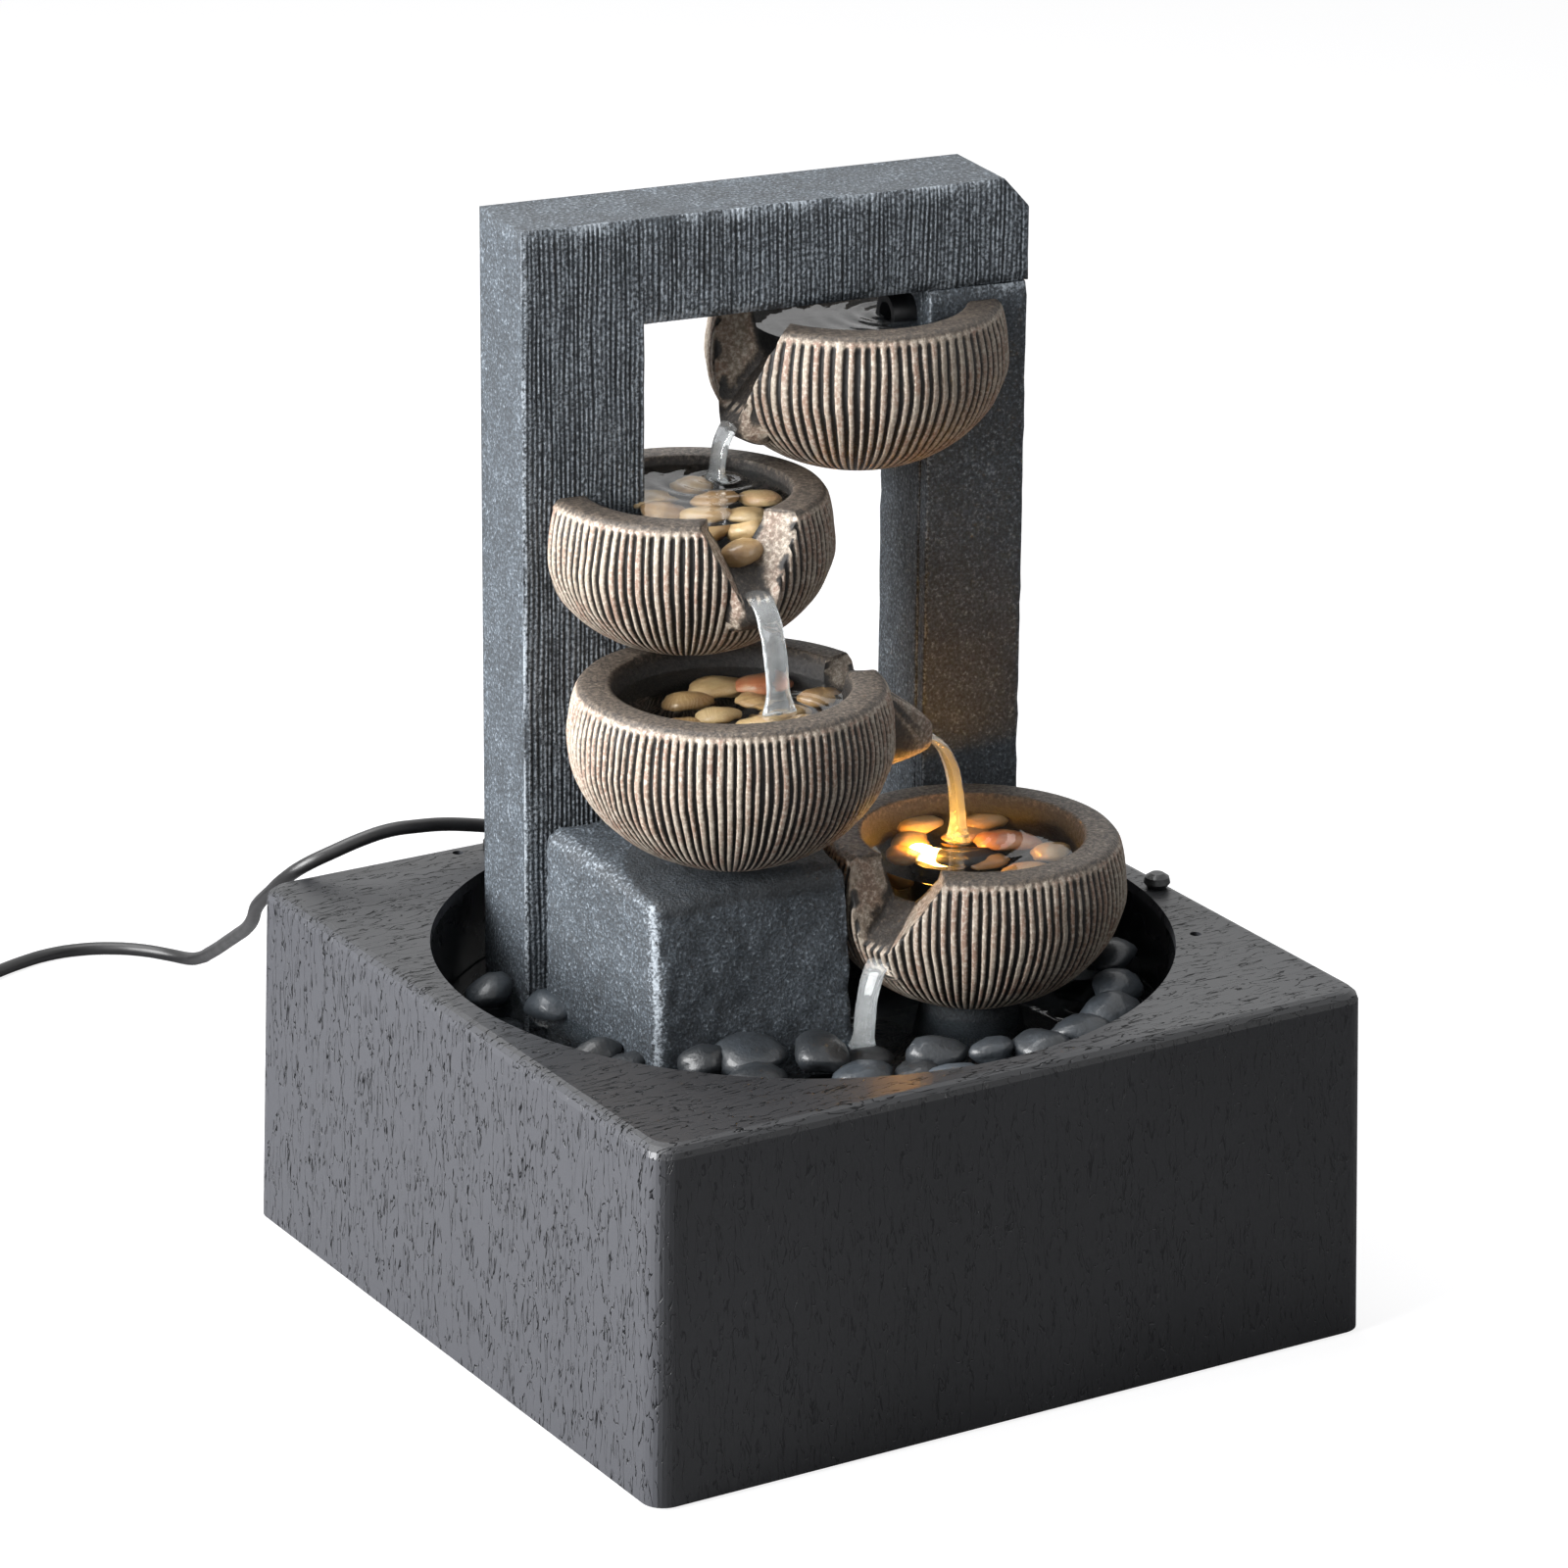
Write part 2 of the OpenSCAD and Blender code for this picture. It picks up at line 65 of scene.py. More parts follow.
def setStops(colourRamp, stops):
    # stops: (place, hex colour) pairs
    elements = colourRamp.elements
    while len(elements) > 1:
        elements.remove(elements[-1])
    elements[0].position, elements[0].color = stops[0][0], toLinear(stops[0][1])
    for place, colour in stops[1:]:
        elements.new(place).color = toLinear(colour)


def joinTo(node, links):
    # links: input socket -> node or output
    for key, source in links.items():
        output = next(o for o in source.outputs if o.enabled) if hasattr(source, "outputs") else source
        node.id_data.links.new(output, node.inputs[key])


def addNode(tree, kind, settings=None, links=None):
    # settings: node fields by name, ramp stops, or input values by socket (hex text is a colour)
    node = tree.nodes.new("ShaderNode" + kind)
    for key, value in (settings or {}).items():
        if key == "stops":
            setStops(node.color_ramp, value)
        elif isinstance(key, str) and hasattr(node, key):
            setattr(node, key, value)
        else:
            node.inputs[key].default_value = toLinear(value) if isinstance(value, str) else value
    joinTo(node, links or {})
    return node


def newMaterial(name):
    # returns the material, its own adding function and its shader
    material = bpy.data.materials.new(name)
    material.use_nodes = True
    tree = material.node_tree
    tree.nodes.clear()
    add = partial(addNode, tree)
    shader = add("BsdfPrincipled")
    add("OutputMaterial", links={"Surface": shader})
    return material, add, shader


def perMetre(sizeMm):
    # noise scale whose features are about this many millimetres
    return 1000 / sizeMm


def dressPiece(mesh, name, material, body, nodes=()):
    piece = bpy.data.objects.new(name, mesh)
    bpy.context.scene.collection.objects.link(piece)
    mesh.materials.clear()
    mesh.materials.append(material)
    mesh.shade_smooth()
    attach(piece, body)
    if nodes:
        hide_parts(*nodes)
    return piece


def bakedMesh(bm, name, cutters):
    # runs boolean cutters (mode, bmesh) over bm and returns the plain mesh
    mesh = bpy.data.meshes.new(name)
    bm.to_mesh(mesh)
    bm.free()
    base = bpy.data.objects.new(name + "Base", mesh)
    bpy.context.scene.collection.objects.link(base)
    helpers = []
    for count, (mode, cutter) in enumerate(cutters):
        cutMesh = bpy.data.meshes.new(f"{name}Cut{count}")
        cutter.to_mesh(cutMesh)
        cutter.free()
        helper = bpy.data.objects.new(cutMesh.name, cutMesh)
        bpy.context.scene.collection.objects.link(helper)
        helpers.append(helper)
        change = base.modifiers.new("cut", "BOOLEAN")
        change.operation = mode
        change.solver = "MANIFOLD"
        change.object = helper
    bpy.context.view_layer.update()
    graph = bpy.context.evaluated_depsgraph_get()
    result = bpy.data.meshes.new_from_object(base.evaluated_get(graph))
    for old in helpers + [base]:
        bpy.data.objects.remove(old)
    return result


def footCentre(node):
    # centre and height of the lowest flat of a CAD node, in the turned frame
    points = [unturnMatrix @ v.co for v in frame["nodes"][node].data.vertices]
    low = min(p.z for p in points)
    ring = [p for p in points if p.z < low + 0.2 * mm]
    middle = [(min(p[i] for p in ring) + max(p[i] for p in ring)) / 2 for i in range(2)]
    return Vector((*middle, low))


def turnedBox(node):
    points = [unturnMatrix @ v.co for v in frame["nodes"][node].data.vertices]
    low = Vector(min(p[i] for p in points) for i in range(3))
    high = Vector(max(p[i] for p in points) for i in range(3))
    return low, high


def boxCutter(low, high):
    bm = bmesh.new()
    bmesh.ops.create_cube(bm, size=1)
    middle, size = (Vector(low) + Vector(high)) / 2, Vector(high) - Vector(low)
    bmesh.ops.transform(bm, matrix=Matrix.Translation(middle) @ Matrix.Diagonal((*size, 1)), verts=bm.verts)
    return bm


cameraSettings = {"azimuth": -31.46, "elevation": 19.93, "roll": 0.48, "distance": 1.754,
                  "lens": 151.8, "side": -0.0042, "height": 0.1289}


def placeCamera(s):
    azimuth, elevation, roll = (math.radians(s[k]) for k in ("azimuth", "elevation", "roll"))
    back = Vector((math.sin(azimuth) * math.cos(elevation), -math.cos(azimuth) * math.cos(elevation),
                   math.sin(elevation)))
    right = Vector((0, 0, 1)).cross(back).normalized()
    up = back.cross(right)
    turnedRight = right * math.cos(roll) + up * math.sin(roll)
    turnedUp = up * math.cos(roll) - right * math.sin(roll)
    camera = bpy.data.objects.new("camera", bpy.data.cameras.new("camera"))
    bpy.context.scene.collection.objects.link(camera)
    camera.data.lens = s["lens"]
    camera.data.sensor_width = 36
    camera.data.clip_start = 0.05
    axes = Matrix((turnedRight, turnedUp, back)).transposed().to_4x4()
    place = turnedRight * s["side"] + turnedUp * s["height"] + back * s["distance"]
    camera.matrix_world = Matrix.Translation(place) @ axes
    bpy.context.scene.camera = camera


placeCamera(cameraSettings)
bpy.context.scene.view_settings.view_transform = "Standard"

# lamps: place, target, size in metres, power in watts
studio = {"ambient": 0.15, "floorLift": 0.86, "floorColour": "#868688", "floorHalf": 6, "lamps": {
    "windowLeft": ((-1.1, 0.1, 0.55), (0, 0, 0.12), (0.9, 0.9), 50),
    "softTop": ((-0.15, 0.45, 1.2), (0, 0, 0.12), (0.9, 0.9), 14),
    "fillRight": ((0.9, -1.1, 0.75), (0, 0, 0.15), (0.5, 0.7), 2)}}


def areaLight(name, place, target, size, power):
    data = bpy.data.lights.new(name, "AREA")
    data.shape = "RECTANGLE"
    data.size, data.size_y = size
    data.energy = power
    light = bpy.data.objects.new(name, data)
    bpy.context.scene.collection.objects.link(light)
    direction = Vector(target) - Vector(place)
    light.matrix_world = Matrix.Translation(place) @ direction.to_track_quat("-Z", "Y").to_matrix().to_4x4()


def makeStudio(s):
    world = bpy.data.worlds.new("studio")
    bpy.context.scene.world = world
    world.use_nodes = True
    tree = world.node_tree
    tree.nodes.clear()
    add = partial(addNode, tree)
    path = add("LightPath")
    seen = add("Math", {"operation": "MAXIMUM"},
               {0: path.outputs["Is Camera Ray"], 1: path.outputs["Is Transmission Ray"]})
    seen = add("Math", {"operation": "MAXIMUM"}, {0: seen, 1: path.outputs["Is Glossy Ray"]})
    strength = add("MapRange", {"To Min": s["ambient"], "To Max": 1.0}, {"Value": seen})
    sky = add("Background", {"Color": (1, 1, 1, 1)}, {"Strength": strength})
    add("OutputWorld", links={"Surface": sky})
    for name, lamp in s["lamps"].items():
        areaLight(name, *lamp)

    bm = bmesh.new()
    bmesh.ops.create_grid(bm, x_segments=1, y_segments=1, size=s["floorHalf"])
    mesh = bpy.data.meshes.new("floor")
    bm.to_mesh(mesh)
    bm.free()
    floor = bpy.data.objects.new("floor", mesh)
    bpy.context.scene.collection.objects.link(floor)
    material, add, shader = newMaterial("seamless paper")
    shader.inputs["Base Color"].default_value = toLinear(s["floorColour"])
    shader.inputs["Roughness"].default_value = 0.9
    shader.inputs["Specular IOR Level"].default_value = 0.0
    path = add("LightPath")
    strength = add("Math", {"operation": "MULTIPLY", 1: s["floorLift"]}, {0: path.outputs["Is Camera Ray"]})
    shader.inputs["Emission Color"].default_value = (1, 1, 1, 1)
    joinTo(shader, {"Emission Strength": strength})
    mesh.materials.append(material)


makeStudio(studio)
print("studio ready")


def patternCoords(add, scale=(1, 1, 1)):
    # stretched object coordinates: a small scale makes a pattern long that way
    return add("Mapping", {"Scale": scale}, {"Vector": add("TexCoord").outputs["Object"]})


def pressIn(add, shader, height, depthMm):
    # the height pattern as a bump of a real depth
    joinTo(shader, {"Normal": add("Bump", {"Strength": 1.0, "Distance": depthMm * mm}, {"Height": height})})


def strokeLines(add, vector):
    # thin broken strokes: the level lines of a stretched noise, kept only in patches
    sizeMm, width = 2.2, 0.024
    field = add("TexNoise", {"Scale": perMetre(sizeMm), "Detail": 2, "Roughness": 0.55, "Distortion": 0.6},
                {"Vector": vector})
    offset = add("Math", {"operation": "SUBTRACT", 1: 0.5}, {0: field})
    away = add("Math", {"operation": "ABSOLUTE"}, {0: offset})
    line = add("MapRange", {"From Min": width, "From Max": width * 0.3}, {"Value": away})
    field = add("TexNoise", {"Scale": perMetre(sizeMm * 0.9), "Detail": 1, "Roughness": 0.55},
                {"Vector": vector})
    patch = add("MapRange", {"From Min": 0.39, "From Max": 0.47}, {"Value": field})
    return add("Math", {"operation": "MULTIPLY"}, {0: line, 1: patch})


def makeGrainAbs():
    # black ABS, injection moulded with a hide grain: satin, with short darker strokes sunk in; the side faces
    # are painted lighter, which is painted light
    material, add, shader = newMaterial("moulded ABS, hide grain")
    facing = add("SeparateXYZ", links={0: add("NewGeometry").outputs["True Normal"]})
    side = strokeLines(add, patternCoords(add, (1, 1, 0.22)))
    deck = strokeLines(add, patternCoords(add, (0.22, 1, 1)))
    onDeck = add("MapRange", {"From Min": 0.4, "From Max": 0.6}, {"Value": facing.outputs[2]})
    strokes = add("Mix", {"data_type": "FLOAT"}, {0: onDeck, 2: side, 3: deck})
    turnedY = add("Math", {"operation": "ABSOLUTE"}, {0: facing.outputs[1]})
    onFront = add("MapRange", {"From Min": 0.6, "From Max": 0.8, "To Min": 1.0, "To Max": 0.4},
                  {"Value": turnedY})
    strokes = add("Math", {"operation": "MULTIPLY"}, {0: strokes, 1: onFront})
    vector = patternCoords(add)
    fine = add("TexNoise", {"Scale": perMetre(0.7), "Detail": 2, "Roughness": 0.55}, {"Vector": vector})
    broad = add("TexNoise", {"Scale": perMetre(60), "Detail": 1, "Roughness": 0.55}, {"Vector": vector})
    # painted light: faces turned along x (left and right) get a lighter colour, standing in for the light
    # from the left window
    turnedX = add("Math", {"operation": "ABSOLUTE"}, {0: facing.outputs[0]})
    paintedSideLight = add("MapRange", {"From Min": 0.6, "From Max": 0.8}, {"Value": turnedX})
    plain = add("Mix", {"data_type": "RGBA", 6: "#1f2022", 7: "#27282b"}, {0: broad})
    plain = add("Mix", {"data_type": "RGBA", 7: "#3d3e42"}, {0: paintedSideLight, 6: plain})
    sunk = add("Math", {"operation": "MULTIPLY", 1: 0.95}, {0: strokes})
    colour = add("Mix", {"data_type": "RGBA", 7: "#08090a"}, {0: sunk, 6: plain})
    rough = add("MapRange", {"From Min": 0.3, "From Max": 0.7, "To Min": 0.3, "To Max": 0.38},
                {"Value": broad})
    shine = add("MapRange", {"To Min": 0.5, "To Max": 0.04}, {"Value": strokes})
    joinTo(shader, {"Base Color": colour, "Roughness": rough, "Specular IOR Level": shine})
    height = add("Math", {"operation": "MULTIPLY", 1: 0.12}, {0: fine})
    height = add("Math", {"operation": "SUBTRACT"}, {0: height, 1: strokes})
    pressIn(add, shader, height, 0.2)
    return material


def makePlain(name, colour, dark, roughness, grainMm, bumpMm, metallic=0.0):
    # a moulded or ground part whose colour drifts a little, with a fine surface
    material, add, shader = newMaterial(name)
    vector = patternCoords(add)
    drift = add("TexNoise", {"Scale": perMetre(grainMm * 12), "Detail": 2, "Roughness": 0.55},
                {"Vector": vector})
    share = add("MapRange", {"From Min": 0.35, "From Max": 0.65}, {"Value": drift})
    rough = add("MapRange", {"From Min": 0.3, "From Max": 0.7, "To Min": roughness - 0.05,
                             "To Max": roughness + 0.06}, {"Value": drift})
    paint = add("Mix", {"data_type": "RGBA", 6: dark, 7: colour}, {0: share})
    joinTo(shader, {"Base Color": paint, "Roughness": rough})
    shader.inputs["Metallic"].default_value = metallic
    fine = add("TexNoise", {"Scale": perMetre(grainMm), "Detail": 3, "Roughness": 0.55}, {"Vector": vector})
    pressIn(add, shader, fine, bumpMm)
    return material


def makeSlateResin():
    # cast polyresin painted near black, then dry-brushed grey-blue over the raised grain; through the same
    # cover the plinth ridge gets a painted highlight and the dish under bowl three gets painted shade
    material, add, shader = newMaterial("cast resin, dry-brushed slate")
    vector = patternCoords(add)
    grain = add("TexNoise", {"Scale": perMetre(0.85), "Detail": 4, "Roughness": 0.6}, {"Vector": vector})
    lumps = add("TexNoise", {"Scale": perMetre(9), "Detail": 3, "Roughness": 0.55}, {"Vector": vector})
    drift = add("TexNoise", {"Scale": perMetre(45), "Detail": 2, "Roughness": 0.55}, {"Vector": vector})
    tone = add("Math", {"operation": "ADD"},
               {0: add("Math", {"operation": "MULTIPLY", 1: 0.8}, {0: grain}),
                1: add("Math", {"operation": "MULTIPLY", 1: 0.2}, {0: lumps})})
    colour = add("ValToRGB", {"stops": [(0.38, "#24282c"), (0.5, "#383e44"), (0.58, "#4c545c"),
                                        (0.68, "#79828a")]}, {0: tone})
    shade = add("MapRange", {"From Min": 0.35, "From Max": 0.7, "To Max": 0.35}, {"Value": drift})
    colour = add("Mix", {"data_type": "RGBA", 7: "#2c3136"}, {0: shade, 6: colour})
    raised = add("Attribute", {"attribute_name": "raised"}).outputs["Fac"]
    scuff = add("Math", {"operation": "SUBTRACT", 1: 0.5}, {0: grain})
    scuff = add("Math", {"operation": "MULTIPLY", 1: 1.3}, {0: scuff})
    brushed = add("Math", {"operation": "ADD"}, {0: raised, 1: scuff})
    light = add("MapRange", {"From Min": 0.62, "From Max": 0.95, "To Max": 0.9}, {"Value": brushed})
    colour = add("Mix", {"data_type": "RGBA", 7: "#9ca4ac"}, {0: light, 6: colour})
    # darker where the cover is low: the dark base paint left in the grooves, and painted shade in the dish
    # under bowl three
    hollowPaintAndShade = add("MapRange", {"From Min": 0.5, "From Max": 0.0, "To Max": 0.8}, {"Value": raised})
    colour = add("Mix", {"data_type": "RGBA", 7: "#1b1e21"}, {0: hollowPaintAndShade, 6: colour})
    rough = add("MapRange", {"From Min": 0.35, "From Max": 0.65, "To Min": 0.72, "To Max": 0.5},
                {"Value": grain})
    joinTo(shader, {"Base Color": colour, "Roughness": rough})
    pressIn(add, shader, tone, 0.6)
    return material


def makeBowlResin():
    # the same resin in brown-black, dry-brushed cream and clay pink along the ribs
    material, add, shader = newMaterial("cast resin, dry-brushed ribs")
    vector = patternCoords(add)
    raised = add("Attribute", {"attribute_name": "raised"}).outputs["Fac"]
    scuff = add("TexNoise", {"Scale": perMetre(1.1), "Detail": 4, "Roughness": 0.7}, {"Vector": vector})
    hue = add("TexNoise", {"Scale": perMetre(5), "Detail": 2, "Roughness": 0.55},
              {"Vector": patternCoords(add, (1, 1, 0.35))})
    clay = add("MapRange", {"From Min": 0.42, "From Max": 0.6}, {"Value": hue})
    chalk = add("MapRange", {"From Min": 0.46, "From Max": 0.68}, {"Value": scuff})
    paint = add("Mix", {"data_type": "RGBA", 6: "#9c9082", 7: "#8d7364"}, {0: clay})
    paint = add("Mix", {"data_type": "RGBA", 7: "#c6bcae"}, {0: chalk, 6: paint})
    patches = add("Math", {"operation": "SUBTRACT", 1: 0.5}, {0: scuff})
    patches = add("Math", {"operation": "MULTIPLY", 1: 0.8}, {0: patches})
    cover = add("Math", {"operation": "ADD"}, {0: raised, 1: patches})
    colour = add("ValToRGB", {"stops": [(0.12, "#131110"), (0.42, "#2e2925"), (0.62, "#655a4f")]}, {0: cover})
    brushed = add("MapRange", {"From Min": 0.6, "From Max": 0.86}, {"Value": cover})
    colour = add("Mix", {"data_type": "RGBA"}, {0: brushed, 6: colour, 7: paint})
    rough = add("MapRange", {"From Min": 0.35, "From Max": 0.65, "To Min": 0.62, "To Max": 0.45},
                {"Value": scuff})
    joinTo(shader, {"Base Color": colour, "Roughness": rough})
    pressIn(add, shader, scuff, 0.35)
    return material


def makeStone(name, stops, roughness, coat):
    # river pebble, wet: mottled, with a water film
    material, add, shader = newMaterial(name)
    vector = patternCoords(add)
    mottle = add("TexNoise", {"Scale": perMetre(7), "Detail": 4, "Roughness": 0.6}, {"Vector": vector})
    each = add("Attribute", {"attribute_name": "tone"}).outputs["Fac"]
    mixed = add("Math", {"operation": "ADD"},
                {0: add("Math", {"operation": "MULTIPLY", 1: 0.45}, {0: mottle}),
                 1: add("Math", {"operation": "MULTIPLY", 1: 0.6}, {0: each})})
    joinTo(shader, {"Base Color": add("ValToRGB", {"stops": stops}, {0: mixed})})
    shader.inputs["Roughness"].default_value = roughness
    shader.inputs["Coat Weight"].default_value = coat
    shader.inputs["Coat Roughness"].default_value = 0.12
    pits = add("TexNoise", {"Scale": perMetre(1.2), "Detail": 4, "Roughness": 0.55}, {"Vector": vector})
    pressIn(add, shader, pits, 0.25)
    return material


def makeWater(name, tint, rippleMm, clarity=1.0):
    # clear water: sharp Fresnel reflection, and light passes so the stones show
    material, add, shader = newMaterial(name)
    shader.inputs["Base Color"].default_value = toLinear(tint)
    shader.inputs["Roughness"].default_value = 0.03
    shader.inputs["IOR"].default_value = 1.333
    shader.inputs["Transmission Weight"].default_value = clarity
    swirl = add("TexNoise", {"Scale": perMetre(9), "Detail": 2, "Roughness": 0.55, "Distortion": 0.8},
                {"Vector": patternCoords(add)})
    pressIn(add, shader, swirl, rippleMm)
    shadow = add("LightPath").outputs["Is Shadow Ray"]
    clear = add("BsdfTransparent", {"Color": tint})
    out = next(n for n in material.node_tree.nodes if n.bl_idname == "ShaderNodeOutputMaterial")
    joinTo(out, {"Surface": add("MixShader", links={0: shadow, 1: shader, 2: clear})})
    return material


def makeLens():
    # frosted acrylic over warm white diodes, lit
    material, add, shader = newMaterial("frosted acrylic, lit")
    shader.inputs["Base Color"].default_value = toLinear("#ffe2a8")
    shader.inputs["Roughness"].default_value = 0.35
    glow = add("TexNoise", {"Scale": perMetre(6), "Detail": 1, "Roughness": 0.55},
               {"Vector": patternCoords(add)})
    share = add("MapRange", {"From Min": 0.35, "From Max": 0.65}, {"Value": glow})
    warm = add("Mix", {"data_type": "RGBA", 6: "#ffb64a", 7: "#ffd884"}, {0: share})
    joinTo(shader, {"Emission Color": warm})
    shader.inputs["Emission Strength"].default_value = 22
    return material


grainAbs = makeGrainAbs()
wellAbs = makePlain("moulded ABS, gloss well", "#1a1b1d", "#111214", 0.28, 1.2, 0.03)
slateResin = makeSlateResin()
bowlResin = makeBowlResin()
darkStone = makeStone("wet slate pebble", [(0.2, "#131517"), (0.5, "#25292d"), (0.8, "#454c53")], 0.5, 0.3)
tanStone = makeStone("wet river pebble", [(0.15, "#6e4a30"), (0.4, "#9c7a50"), (0.6, "#b89c70"),
                                          (0.85, "#a0603f")], 0.35, 0.6)
stillWater = makeWater("still water", "#d9dee0", 0.12)
fallingWater = makeWater("falling water", "#f2f5f6", 0.6, 0.88)
lensMaterial = makeLens()
softRubber = makePlain("moulded rubber", "#2a2a2b", "#1f1f20", 0.7, 0.8, 0.05)
cordPvc = makePlain("extruded PVC", "#1a1a1b", "#101011", 0.38, 0.8, 0.02)
pumpAbs = makePlain("moulded ABS, pump black", "#222326", "#18191b", 0.45, 0.9, 0.04)
greyAbs = makePlain("moulded ABS, grey", "#5a5d62", "#4a4d51", 0.45, 0.9, 0.03)
whitePom = makePlain("moulded acetal, white", "#e6e4dc", "#d6d3c8", 0.35, 1.0, 0.02)
alumina = makePlain("ground alumina", "#f0efeb", "#e2e0da", 0.25, 0.5, 0.01)
clearVinyl = makePlain("flexible vinyl hose", "#b9c0c2", "#a4acaf", 0.3, 2.0, 0.03)
adaptorPc = makePlain("polycarbonate, spark texture", "#1c1c1e", "#141416", 0.5, 0.35, 0.05)
pinBrass = makePlain("plated brass", "#cdbb86", "#b9a56c", 0.28, 0.6, 0.01, metallic=1.0)
boardMask = makePlain("solder mask, white", "#e9e4d2", "#d8d2bd", 0.4, 1.5, 0.02)
print("materials ready")

nodeFinish = {
    "base_housing": grainAbs, "reservoir": wellAbs, "rubber_feet": softRubber, "deck_pebble": darkStone,
    "basin_pebbles": darkStone, "pump_body": pumpAbs, "pump_cover": pumpAbs, "flow_regulator": greyAbs,
    "impeller": whitePom, "impeller_shaft": alumina, "suction_cups": softRubber, "pump_lead": cordPvc,
    "cord_clip": cordPvc, "power_cord": cordPvc, "cord_coil": cordPvc, "coil_tie": softRubber,
    "adaptor_relief": cordPvc, "adaptor_body": adaptorPc, "adaptor_face": adaptorPc, "plug_pins": pinBrass,
    "arch_slab": slateResin, "right_column": slateResin, "column_cover": slateResin, "tower_foot": slateResin,
    "plinth": slateResin, "bowl_stand": slateResin, "bowl_one": bowlResin, "bowl_two": bowlResin,
    "bowl_three": bowlResin, "bowl_four": bowlResin, "riser_hose": clearVinyl, "outlet_nozzle": pumpAbs,
    "led_housing": pumpAbs, "led_lens": lensMaterial, "led_board": boardMask, "led_lead": cordPvc,
    "pebbles_two": tanStone, "pebbles_three": tanStone, "pebbles_four": tanStone}
for nodeName, finish in nodeFinish.items():
    nodeMesh = frame["nodes"][nodeName].data
    nodeMesh.materials.clear()
    nodeMesh.materials.append(finish)


# power cord: a listed route, then a coil stored flat
cordPlan = {"diameter": 3.8, "coilRadius": 22.5, "turnsAcross": 3,
            "route": [(-38, 98.5, 101), (-44, 99.5, 102.2), (-52, 100, 103.7), (-60, 100, 104.6),
                      (-68, 100.5, 104.8), (-76, 101, 103.6), (-84, 102.5, 101), (-91, 106, 97.2),
                      (-93.5, 113, 91.5), (-92.5, 123, 84.5), (-89, 138, 75), (-82, 155, 64),
                      (-74, 175, 53), (-66, 197, 42), (-58, 220, 30.5), (-51, 240, 20.5), (-46, 256, 12.5),
                      (-43, 268, 6.5), (-42.5, 277, 3), (-45, 285, 2), (-50, 292, 2), (-57, 298, 2),
                      (-66, 302, 2), (-76, 303, 2), (-86, 301, 2), (-96, 297.5, 2), (-106, 293.5, 2),
                      (-117, 290, 2)]}


def coilPoints(centre, plan, startAngle, turns, stepsPerTurn=24):
    # the turns sweep in and out as they climb, three to a layer
    d, across = plan["diameter"], plan["turnsAcross"]
    points = []
    total = int(turns * stepsPerTurn)
    for i in range(total + 1):
        turn = i / stepsPerTurn
        layer = turn / across
        ringPlace = math.cos(layer * math.pi * 2) * d
        radius = plan["coilRadius"] + ringPlace
        angle = startAngle - 2 * math.pi * turn
        points.append((centre.x * 1000 + radius * math.cos(angle), centre.y * 1000 + radius * math.sin(angle),
                       d / 2 + 0.1 + layer * d))
    return points


def makeCord(plan):
    low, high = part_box("cord_coil")
    centre = (low + high) / 2
    last = plan["route"][-1]
    startAngle = math.atan2(last[1] / 1000 - centre.y, last[0] / 1000 - centre.x)
    reliefLow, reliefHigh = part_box("adaptor_relief")
    endAngle = math.radians(-90)
    turns = 7 + ((startAngle - endAngle) % (2 * math.pi)) / (2 * math.pi)
    coilRun = coilPoints(centre, plan, startAngle, turns)
    reliefEnd = (reliefHigh.x * 1000, (reliefLow.y + reliefHigh.y) * 500, (reliefLow.z + reliefHigh.z) * 500)
    points = plan["route"][:-1] + coilRun[1:] + [reliefEnd]
    curve = bpy.data.curves.new("power_cord_run", "CURVE")
    curve.dimensions = "3D"
    spline = curve.splines.new("BEZIER")
    spline.bezier_points.add(len(points) - 1)
    for point, place in zip(spline.bezier_points, points):
        point.co = Vector(place) * mm
        point.handle_left_type = point.handle_right_type = "AUTO"
    curve.bevel_depth = plan["diameter"] / 2 * mm
    curve.bevel_resolution = 4
    curve.resolution_u = 4
    curve.use_fill_caps = True
    cord = bpy.data.objects.new("power_cord_run", curve)
    bpy.context.scene.collection.objects.link(cord)
    curve.materials.append(cordPvc)
    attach(cord, "base")
    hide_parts("power_cord", "cord_coil")


makeCord(cordPlan)
print("cord ready")


leftColumnWide = 34  # mm, of the arch slab
coverThick = 5  # mm, of the right column's front cover

# ribbed bowls: each centre comes from the CAD foot; sizes in mm; spout angle in the turned frame, in degrees
bowlPlans = {
    "bowl_one": {"wide": 40, "height": 42.5, "angle": 188.5, "lip": 40, "drop": 28, "notch": (-16, 24),
                 "ribs": 84, "cut": True},
    "bowl_two": {"wide": 38.5, "height": 41.3, "angle": 274.5, "lip": 39.5, "drop": 24, "notch": (-22, 22),
                 "ribs": 96, "cut": True},
    "bowl_three": {"wide": 42.2, "height": 46, "angle": 3.5, "lip": 57, "drop": 24, "notch": (-14, 14),
                   "ribs": 108, "cut": True},
    "bowl_four": {"wide": 40.5, "height": 44, "angle": 203.5, "lip": 36.5, "drop": 26, "notch": (-14, 31),
                  "ribs": 98, "cut": False}}
bowlStyle = {"rimStep": 2.6, "rimWide": 9, "foot": 15, "wideDrop": 14, "cavity": 32, "grooveDepth": 1.0,
             "bandBelowRim": 1.8, "stepsPerRib": 8}


def outerRadius(plan, drop):
    # radius of the outer skin at a depth below the rim
    s = bowlStyle
    if drop <= s["wideDrop"]:
        share = drop / s["wideDrop"]
        return plan["wide"] - s["rimStep"] * (1 - share) ** 2
    low = plan["height"] - s["wideDrop"]
    a0 = math.acos(s["foot"] / plan["wide"])
    sine = min(1, (drop - s["wideDrop"]) / low) * math.sin(a0)
    return plan["wide"] * math.sqrt(max(0, 1 - sine * sine))


